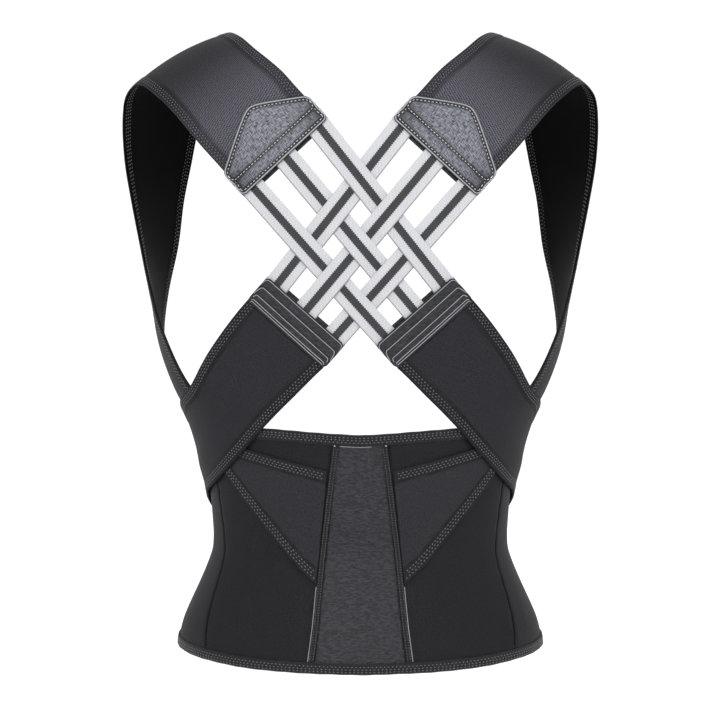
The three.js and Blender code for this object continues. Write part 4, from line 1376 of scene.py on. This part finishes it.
def elastic_marks(number, even_over):
    """Places along an elastic and its lift there: flat over or under each one that it crosses."""
    start, way, length = elastic_line(number)
    crossings = []
    for other in (1, 2, 3):
        other_start, other_way, _ = elastic_line(other)
        other_start, other_way = other_start * [-1, 1], other_way * [-1, 1]
        sine = way[0] * other_way[1] - way[1] * other_way[0]
        cosine = abs(way @ other_way)
        gap = other_start - start
        at = (gap[0] * other_way[1] - gap[1] * other_way[0]) / sine
        half = ELASTIC_WIDTH / 2 * (1 + cosine) / abs(sine) + LAYER_GAP
        over = ((number + other) % 2 == 0) == even_over
        crossings.append((at, half, WEAVE_LIFT if over else -WEAVE_LIFT))
    marks = [(-TAB_INSERT, 0), (BACK_PLY_SHOW, 0)]
    for at, half, lift in sorted(crossings):
        marks += [(at - half, lift), (at + half, lift)]
    marks += [(length - BACK_PLY_SHOW, 0), (length + TAB_INSERT, 0)]
    return np.array(marks, float)


def elastic_surface(number, even_over):
    start, way, length = elastic_line(number)
    marks = elastic_marks(number, even_over)

    def surface(u, v, lift):
        i = np.clip(np.searchsorted(marks[:, 0], u, side="right") - 1, 0, len(marks) - 2)
        t = smooth(u, marks[i, 0], marks[i + 1, 0])
        level = ELASTIC_LIFT + lerp(marks[i, 1], marks[i + 1, 1], t) + lift
        side = (v - 0.5) * ELASTIC_WIDTH
        across = start[0] + way[0] * u - way[1] * side
        height = start[1] + way[1] * u + way[0] * side
        return back_point(across, height, level)
    return surface


def elastic_shade(run, cross, edge):
    """A thin painted shadow darkens the lower edge of an elastic."""
    return 1 - LOWER_EDGE_SHADOW_TONE * dip(cross - LOWER_EDGE_SHADOW_INSET, LOWER_EDGE_SHADOW_WIDTH)


def elastic_relief(run, cross, edge):
    return RIB_HEIGHT * np.sin(run * 2 * np.pi / PICK_PITCH) * smooth(edge["sides"], 0.2, 1.2)


for side, word in SIDES:
    for number in (1, 2, 3):
        length = elastic_line(number)[2]
        plan = sheet_plan(elastic_surface(number, side > 0), (-TAB_INSERT, length + TAB_INSERT), (0, 1),
                          -ELASTIC_THICKNESS / 2, ELASTIC_THICKNESS, ELASTIC_SPACING,
                          elastic_relief, elastic_shade)
        elastic = sheet_piece(f"elastic_band_{word}_{number}", plan, (elastic_weave,), side)
        settle(elastic, "elastic_webbing", f"elastic_{word}_{number}")
        declare_cloth(elastic, plan)

# %% [markdown]
# ## Sewing
#
# Stitches repeat along a path, so one node tree sews them all. A bump in the finish could stand for
# them, but real threads catch the light and throw small shadows. The tree takes guide lines that
# lie on the cloth, each point with the way outward. It walks along a guide hop by hop and steps
# from side to side, which gives a zigzag, or a plain row where the width is nothing. On each hop
# lies one short length of thread, thick in the middle and sunk into the cloth at its ends.

# %% The sewing tree
STITCH_SEGMENTS = 6
STITCH_RINGS = 3


def sewing_tree():
    tree = bpy.data.node_groups.new("sew along guides", "GeometryNodeTree")
    face = tree.interface
    face.new_socket("Geometry", in_out="INPUT", socket_type="NodeSocketGeometry")
    for name in ("Stitch Hop", "Zigzag Width", "Stitch Share", "Thread Radius"):
        face.new_socket(name, in_out="INPUT", socket_type="NodeSocketFloat")
    face.new_socket("Thread", in_out="INPUT", socket_type="NodeSocketMaterial")
    face.new_socket("Geometry", in_out="OUTPUT", socket_type="NodeSocketGeometry")
    given = add_node(tree, "NodeGroupInput").outputs
    guides = add_node(tree, "GeometryNodeMeshToCurve", {"Mesh": given["Geometry"]})
    hops = add_node(tree, "GeometryNodeResampleCurve", {
        "Curve": guides, "Length": given["Stitch Hop"]}, mode="LENGTH")
    outward = add_node(tree, "GeometryNodeInputNamedAttribute", {"Name": "outward"},
                       data_type="FLOAT_VECTOR")
    tangent = add_node(tree, "GeometryNodeInputTangent")
    side = add_node(tree, "ShaderNodeVectorMath", {0: tangent, 1: outward}, operation="CROSS_PRODUCT")
    index = add_node(tree, "GeometryNodeInputIndex")
    odd = add_node(tree, "ShaderNodeMath", {0: index, 1: 2}, operation="MODULO")
    parity = add_node(tree, "ShaderNodeMath", {0: odd, 1: 0.5}, operation="SUBTRACT")
    width = add_node(tree, "ShaderNodeMath", {0: parity, 1: given["Zigzag Width"]}, operation="MULTIPLY")
    step = add_node(tree, "ShaderNodeVectorMath", {0: side, "Scale": width}, operation="SCALE")
    zigzag = add_node(tree, "GeometryNodeSetPosition", {"Geometry": hops, "Offset": step})
    wire = add_node(tree, "GeometryNodeCurveToMesh", {"Curve": zigzag})
    ends = add_node(tree, "GeometryNodeInputMeshEdgeVertices").outputs
    hop = add_node(tree, "ShaderNodeVectorMath", {
        0: ends["Position 2"], 1: ends["Position 1"]}, operation="SUBTRACT")
    kept = wire
    for name, value in (("hop", hop), ("up", outward)):
        kept = add_node(tree, "GeometryNodeStoreNamedAttribute", {
            "Geometry": kept, "Name": name, "Value": value}, data_type="FLOAT_VECTOR", domain="EDGE")
    spots = add_node(tree, "GeometryNodeMeshToPoints", {"Mesh": kept}, mode="EDGES")
    along_hop, upward = (
        add_node(tree, "GeometryNodeInputNamedAttribute", {"Name": name}, data_type="FLOAT_VECTOR")
        for name in ("hop", "up"))
    aligned = add_node(tree, "FunctionNodeAlignRotationToVector", {"Vector": along_hop}, axis="X")
    turned = add_node(tree, "FunctionNodeAlignRotationToVector", {
        "Rotation": aligned, "Vector": upward}, axis="Z", pivot_axis="X")
    reach = add_node(tree, "ShaderNodeVectorMath", {0: along_hop}, operation="LENGTH").outputs["Value"]
    share = add_node(tree, "ShaderNodeMath", {0: reach, 1: given["Stitch Share"]}, operation="MULTIPLY")
    half = add_node(tree, "ShaderNodeMath", {0: share, 1: 0.5}, operation="MULTIPLY")
    size = add_node(tree, "ShaderNodeCombineXYZ", {
        0: half, 1: given["Thread Radius"], 2: given["Thread Radius"]})
    stitch = add_node(tree, "GeometryNodeMeshUVSphere", {
        "Segments": STITCH_SEGMENTS, "Rings": STITCH_RINGS, "Radius": 1})
    laid = add_node(tree, "GeometryNodeInstanceOnPoints", {
        "Points": spots, "Instance": stitch, "Rotation": turned, "Scale": size})
    real = add_node(tree, "GeometryNodeRealizeInstances", {"Geometry": laid})
    soft = add_node(tree, "GeometryNodeSetShadeSmooth", {"Geometry": real})
    done = add_node(tree, "GeometryNodeSetMaterial", {"Geometry": soft, "Material": given["Thread"]})
    add_node(tree, "NodeGroupOutput", {"Geometry": done})
    return tree


sew_along = sewing_tree()
print(sew_along.name, len(sew_along.nodes), "nodes")

# %% [markdown]
# Piping is a cord sewn into a rim. A bevelled curve would do, but a second small tree, a round
# section carried along the same kind of guide, gives each cord the same way in as the stitches.

# %% The piping tree
CORD_SIDES = 8


def piping_tree():
    tree = bpy.data.node_groups.new("lay a cord along guides", "GeometryNodeTree")
    face = tree.interface
    face.new_socket("Geometry", in_out="INPUT", socket_type="NodeSocketGeometry")
    face.new_socket("Cord Radius", in_out="INPUT", socket_type="NodeSocketFloat")
    face.new_socket("Cord", in_out="INPUT", socket_type="NodeSocketMaterial")
    face.new_socket("Geometry", in_out="OUTPUT", socket_type="NodeSocketGeometry")
    given = add_node(tree, "NodeGroupInput").outputs
    guides = add_node(tree, "GeometryNodeMeshToCurve", {"Mesh": given["Geometry"]})
    section = add_node(tree, "GeometryNodeCurvePrimitiveCircle", {
        "Resolution": CORD_SIDES, "Radius": given["Cord Radius"]})
    cord = add_node(tree, "GeometryNodeCurveToMesh", {
        "Curve": guides, "Profile Curve": section, "Fill Caps": True})
    soft = add_node(tree, "GeometryNodeSetShadeSmooth", {"Geometry": cord})
    real = add_node(tree, "GeometryNodeRealizeInstances", {"Geometry": soft})
    done = add_node(tree, "GeometryNodeSetMaterial", {"Geometry": real, "Material": given["Cord"]})
    add_node(tree, "NodeGroupOutput", {"Geometry": done})
    return tree


lay_cord = piping_tree()
print(lay_cord.name, len(lay_cord.nodes), "nodes")


# %% Run a tree
def guide_object(name, lines):
    """A wire object of polylines, each with points and outward directions in millimetres."""
    points = np.concatenate([line[0] for line in lines]) * MM
    outward = np.concatenate([line[1] for line in lines])
    edges = []
    start = 0
    for line, _ in lines:
        edges += [(start + k, start + k + 1) for k in range(len(line) - 1)]
        start += len(line)
    mesh = bpy.data.meshes.new(name)
    mesh.from_pydata(points.tolist(), edges, [])
    kept = mesh.attributes.new("outward", "FLOAT_VECTOR", "POINT")
    kept.data.foreach_set("vector", outward.astype(np.float32).ravel())
    guide = bpy.data.objects.new(name, mesh)
    bpy.context.collection.objects.link(guide)
    return guide


def grow(name, tree, lines, slot, **sizes):
    """Run a tree on guide lines and keep the result as a plain mesh."""
    guide = guide_object(f"{name}_guides", lines)
    modifier = guide.modifiers.new("grow", "NODES")
    modifier.node_group = tree
    sockets = {item.name: item.identifier for item in tree.interface.items_tree if item.in_out == "INPUT"}
    for word, value in sizes.items():
        modifier[sockets[word.replace("_", " ").title()]] = value
    evaluated = guide.evaluated_get(bpy.context.evaluated_depsgraph_get())
    mesh = bpy.data.meshes.new_from_object(evaluated)
    bpy.data.objects.remove(guide)
    mesh.name = name
    piece = bpy.data.objects.new(name, mesh)
    bpy.context.collection.objects.link(piece)
    settle(piece, slot)
    print(name, len(mesh.polygons), "faces")


# %% Guide lines on a sheet
def seam_line(plan, way, inset, far=False, trim=0, face="top", sink=0.1):
    """A line on a sheet at an inset from one side. It runs along u ("u") or along v ("v")."""
    measure = plan["cross"] if way == "u" else plan["run"].T
    lift = plan[face] if way == "u" else plan[face].T
    steady, moving = (plan["u"], plan["v"]) if way == "u" else (plan["v"], plan["u"])
    square = plan["slant"]["far" if far else "near"][:, 0] if way == "u" else 1
    reach = np.full(len(measure), float(inset)) / square
    target = measure[:, -1] - reach if far else reach
    crossing = np.array([np.interp(target[k], measure[k], moving) for k in range(len(measure))])
    level = np.array([np.interp(crossing[k], moving, lift[k]) for k in range(len(measure))])
    sign = 1 if face == "top" else -1
    u, v = (steady, crossing) if way == "u" else (crossing, steady)
    points = plan["surface"](u, v, level - sign * sink)
    outward = unit(plan["surface"](u, v, level + sign) - plan["surface"](u, v, level))
    run = along(points, 0)
    kept = (run >= trim) & (run <= run[-1] - trim)
    return points[kept], outward[kept]


def both_sides(name, tree, lines, slot, **sizes):
    """Grow the same seams on the left and, mirrored, on the right."""
    for side, word in SIDES:
        turned = [(points * [side, 1, 1], outward * [side, 1, 1]) for points, outward in lines]
        grow(f"{name}_{word}", tree, turned, slot, **sizes)


# %% [markdown]
# The hems of the straps, wings and bindings are sewn with a flat cover stitch, whose loops show as
# three staggered rows of dots, 4.2 mm wide, that repeat every 3.3 mm. The thread is drawn a little
# thicker than the real one, and the middle row starts half a stitch later.

# %% Hem stitches
HEM_HOP = 3.3
HEM_ROWS = ((2.9, 0), (5, HEM_HOP / 2), (7.1, 0))
WING_ROW_STOP = 2
STRAP_ROW_STOP = 3
COVER_STITCH = {"stitch_hop": HEM_HOP * MM, "zigzag_width": 0.9 * MM, "stitch_share": 0.5,
                "thread_radius": 0.42 * MM, "thread": hem_thread}


def hem_rows(plan, trim, sides=(False, True), face="top"):
    return [seam_line(plan, "u", inset, far, trim + late, face)
            for far in sides for inset, late in HEM_ROWS]


for binding_name, plan in binding_plans.items():
    rows = hem_rows(plan, 0, (False,))
    grow(f"{binding_name}_stitches", sew_along, rows, "binding_tape", **COVER_STITCH)
for name, rows in (
        ("wing_stitches", hem_rows(wing_plan, WING_ROW_STOP)),
        ("cross_strap_stitches", hem_rows(cross_plan, STRAP_ROW_STOP)),
        ("shoulder_strap_stitches", hem_rows(shoulder_plan, STRAP_ROW_STOP)),
        ("shoulder_lining_stitches", hem_rows(shoulder_plan, STRAP_ROW_STOP, face="low"))):
    both_sides(name, sew_along, rows, "knit_fabric", **COVER_STITCH)

# %% [markdown]
# A channel is sewn down along both sides with fine stitches. Below the wing a light grey cord
# lies at its outer side, a painted highlight on the channel's edge, and another one lies across
# the centre panel, under the top binding, a painted highlight on the panel's top edge.

# %% Channel stitches and painted highlight cords
CHANNEL_ROW = {**COVER_STITCH, "stitch_hop": 2.2 * MM, "zigzag_width": 0.0, "thread_radius": 0.3 * MM}
CHANNEL_ROW_INSET = 0.9
CHANNEL_ROW_STOP = 1.5
HIGHLIGHT_CORD_ASIDE = -0.12
HIGHLIGHT_CORD_RISE = 0.25
HIGHLIGHT_CORD_STOP = 2
TOP_HIGHLIGHT_CORD_DROP = 0.5
TOP_HIGHLIGHT_CORD_STOP = 3
HIGHLIGHT_CORD = {"cord_radius": 0.32 * MM, "cord": grey_cord_painted_highlight}

channel_rows = [seam_line(channel_plan, "u", CHANNEL_ROW_INSET, far, CHANNEL_ROW_STOP)
                for far in (False, True)]
both_sides("channel_stitches", sew_along, channel_rows, "smooth_leatherette", **CHANNEL_ROW)
wing_foot = BAND_RISE * WING["lower"][0]
below_wing = channel_surface(channel_plan["u"], 0, TRIM_LIFT)[:, 2] < wing_foot - HIGHLIGHT_CORD_STOP
highlight_cord_at = channel_plan["u"][below_wing]
highlight_cord_points = channel_surface(highlight_cord_at, HIGHLIGHT_CORD_ASIDE, PANEL_TOP + HIGHLIGHT_CORD_RISE)
highlight_cord_outward = unit(channel_surface(highlight_cord_at, HIGHLIGHT_CORD_ASIDE, PANEL_TOP + 1) - highlight_cord_points)
both_sides("channel_highlight_cord", lay_cord, [(highlight_cord_points, highlight_cord_outward)], "smooth_leatherette", **HIGHLIGHT_CORD)
top_inset = BINDING_WIDTH - BINDING_THICKNESS - LAYER_GAP + TOP_HIGHLIGHT_CORD_DROP
top_points, top_outward = seam_line(panel_plans["back_center_panel"], "u", top_inset, True,
                                    TOP_HIGHLIGHT_CORD_STOP, sink=0)
above_panel = (top_points[:, 0] > -SEAM_TOP_OFFSET + 1) & (top_points[:, 0] < SEAM_TOP_OFFSET / 2)
grow("top_highlight_cord", lay_cord, [(top_points[above_panel], top_outward[above_panel])],
     "smooth_leatherette", **HIGHLIGHT_CORD)

# %% [markdown]
# The tabs are sewn with plain rows. On the upper tab the thread is light, so each stitch stands
# out in its groove, which painted shade makes black, round the rim and across above the elastics.
# A light grey cord edges it, a painted highlight on the black piping. The lower tab has fine light
# cords in the valleys of its ribs, and a double one at the strap.

# %% Tab stitches and piping
def rim_lines(plan, inset):
    """Four lines round a sheet, each stopped where it meets the next."""
    return [seam_line(plan, way, inset, far, inset) for way in ("u", "v") for far in (False, True)]


TAB_ROW = {"stitch_hop": 3.1 * MM, "zigzag_width": 0.0, "stitch_share": 0.72,
           "thread_radius": 0.38 * MM, "thread": light_thread}
RIB_CORD = {"cord_radius": 0.28 * MM, "cord": grey_cord_painted_highlight}
RIB_CORD_STOP = 4.5
PIPING_INSET = 1.2
PIPING_RADIUS = 0.48
STRAP_LINE_GAP = 2
upper_rows = rim_lines(upper_front, TAB_SEAM_INSET)
upper_rows.append(seam_line(upper_front, "u", UPPER_CROSS_SEAM, trim=TAB_SEAM_INSET))
both_sides("upper_tab_stitches", sew_along, upper_rows, "elastic_webbing", **TAB_ROW)
both_sides("upper_tab_piping", lay_cord, rim_lines(upper_front, PIPING_INSET), "smooth_leatherette",
           cord_radius=PIPING_RADIUS * MM, cord=grey_cord_painted_highlight)
lower_lines = (*RIB_LINES, RIB_LINES[-1] - STRAP_LINE_GAP)
lower_rows = [seam_line(lower_front, "u", line, trim=RIB_CORD_STOP, sink=0) for line in lower_lines]
both_sides("lower_tab_cords", lay_cord, lower_rows, "elastic_webbing", **RIB_CORD)

# %% [markdown]
# ## Studio
#
# The floor is pale and curves up far behind into a round wall, so that no edge shows. A soft key
# light, a large fill light and an even sky give black cloth its gentle highlights, and a light from
# the far side rims the straps. As in a real studio, the floor and the wall have lamps of their own,
# turned away from the brace, so they are white and the cloth stays black.

# %% The pale room
FLOOR_HEIGHT = -0.42
FLOOR_REACH = 1.5
ROOM_RADIUS = 4.6
ROOM_BEND = 1.6
ROOM_HEIGHT = 3.4
ROOM_SIDES = 96
ROOM_HUB = 0.001
BEND_POINTS = 13


def pale_room():
    bend = np.linspace(0, np.pi / 2, BEND_POINTS)
    profile = [(ROOM_HUB, 0), (FLOOR_REACH, 0)]
    profile += [(ROOM_RADIUS - ROOM_BEND * (1 - np.sin(t)), ROOM_BEND * (1 - np.cos(t))) for t in bend]
    profile += [(ROOM_RADIUS, ROOM_HEIGHT)]
    turns = np.linspace(0, 2 * np.pi, ROOM_SIDES, endpoint=False)
    points = [(r * np.cos(t), r * np.sin(t), FLOOR_HEIGHT + z) for r, z in profile for t in turns]
    index = np.arange(len(points)).reshape(len(profile), ROOM_SIDES)
    turned = np.roll(index, -1, axis=1)
    quads = np.stack([index[:-1], turned[:-1], turned[1:], index[1:]], axis=-1).reshape(-1, 4)
    mesh = bpy.data.meshes.new("studio_floor")
    mesh.from_pydata(points, [], quads.tolist())
    mesh.polygons.foreach_set("use_smooth", np.ones(len(quads), bool))
    paint, *_ = new_material("matt white paint", **{
        "Base Color": colour("#f6f6f6"), "Roughness": 0.9})
    mesh.materials.append(paint)
    floor = bpy.data.objects.new("studio_floor", mesh)
    bpy.context.collection.objects.link(floor)
    print("room", len(quads), "faces")


pale_room()

# %% Lights
AIM = (0, 0, AIM_HEIGHT)
WALL_LAMP_OUT = 2.1
WALL_LAMP_HEIGHT = 1.5
WALL_AIM_HEIGHT = 0.2
FLOOR_LAMP_PLACE = (0, 2.2, 0.8)
FLOOR_LAMP_AIM = (0, 2.2, FLOOR_HEIGHT)
SKY_STRENGTH = 0.45


def soft_light(name, place, target, size, power):
    """A square area light, its size in metres and its power in watts, unseen by the camera."""
    data = bpy.data.lights.new(name, "AREA")
    data.shape = "SQUARE"
    data.size = size
    data.energy = power
    lamp = bpy.data.objects.new(name, data)
    lamp.location = place
    lamp.rotation_euler = (Vector(target) - lamp.location).to_track_quat("-Z", "Y").to_euler()
    lamp.visible_camera = False
    bpy.context.collection.objects.link(lamp)


soft_light("key_light", (-0.25, -1.9, 1.45), AIM, size=0.7, power=23)
soft_light("fill_light", (1.9, -1.6, 0.7), AIM, size=1.4, power=7)
soft_light("back_light", (0.2, 2.2, 1.8), AIM, size=1.6, power=14)
soft_light("floor_light", FLOOR_LAMP_PLACE, FLOOR_LAMP_AIM, size=2, power=12)
for number, turn in enumerate(np.radians((45, 135, 225, 315))):
    out = np.array([np.cos(turn), np.sin(turn)])
    place = (*(out * WALL_LAMP_OUT), WALL_LAMP_HEIGHT)
    wall = (*(out * ROOM_RADIUS), WALL_AIM_HEIGHT)
    soft_light(f"wall_light_{number}", place, wall, size=1.2, power=38)
world = bpy.data.worlds.new("even sky")
bpy.context.scene.world = world
world.use_nodes = True
world.node_tree.nodes["Background"].inputs["Color"].default_value = colour("#ffffff")
world.node_tree.nodes["Background"].inputs["Strength"].default_value = SKY_STRENGTH
bpy.context.scene.view_settings.view_transform = "Standard"
print("lights", len(bpy.data.lights))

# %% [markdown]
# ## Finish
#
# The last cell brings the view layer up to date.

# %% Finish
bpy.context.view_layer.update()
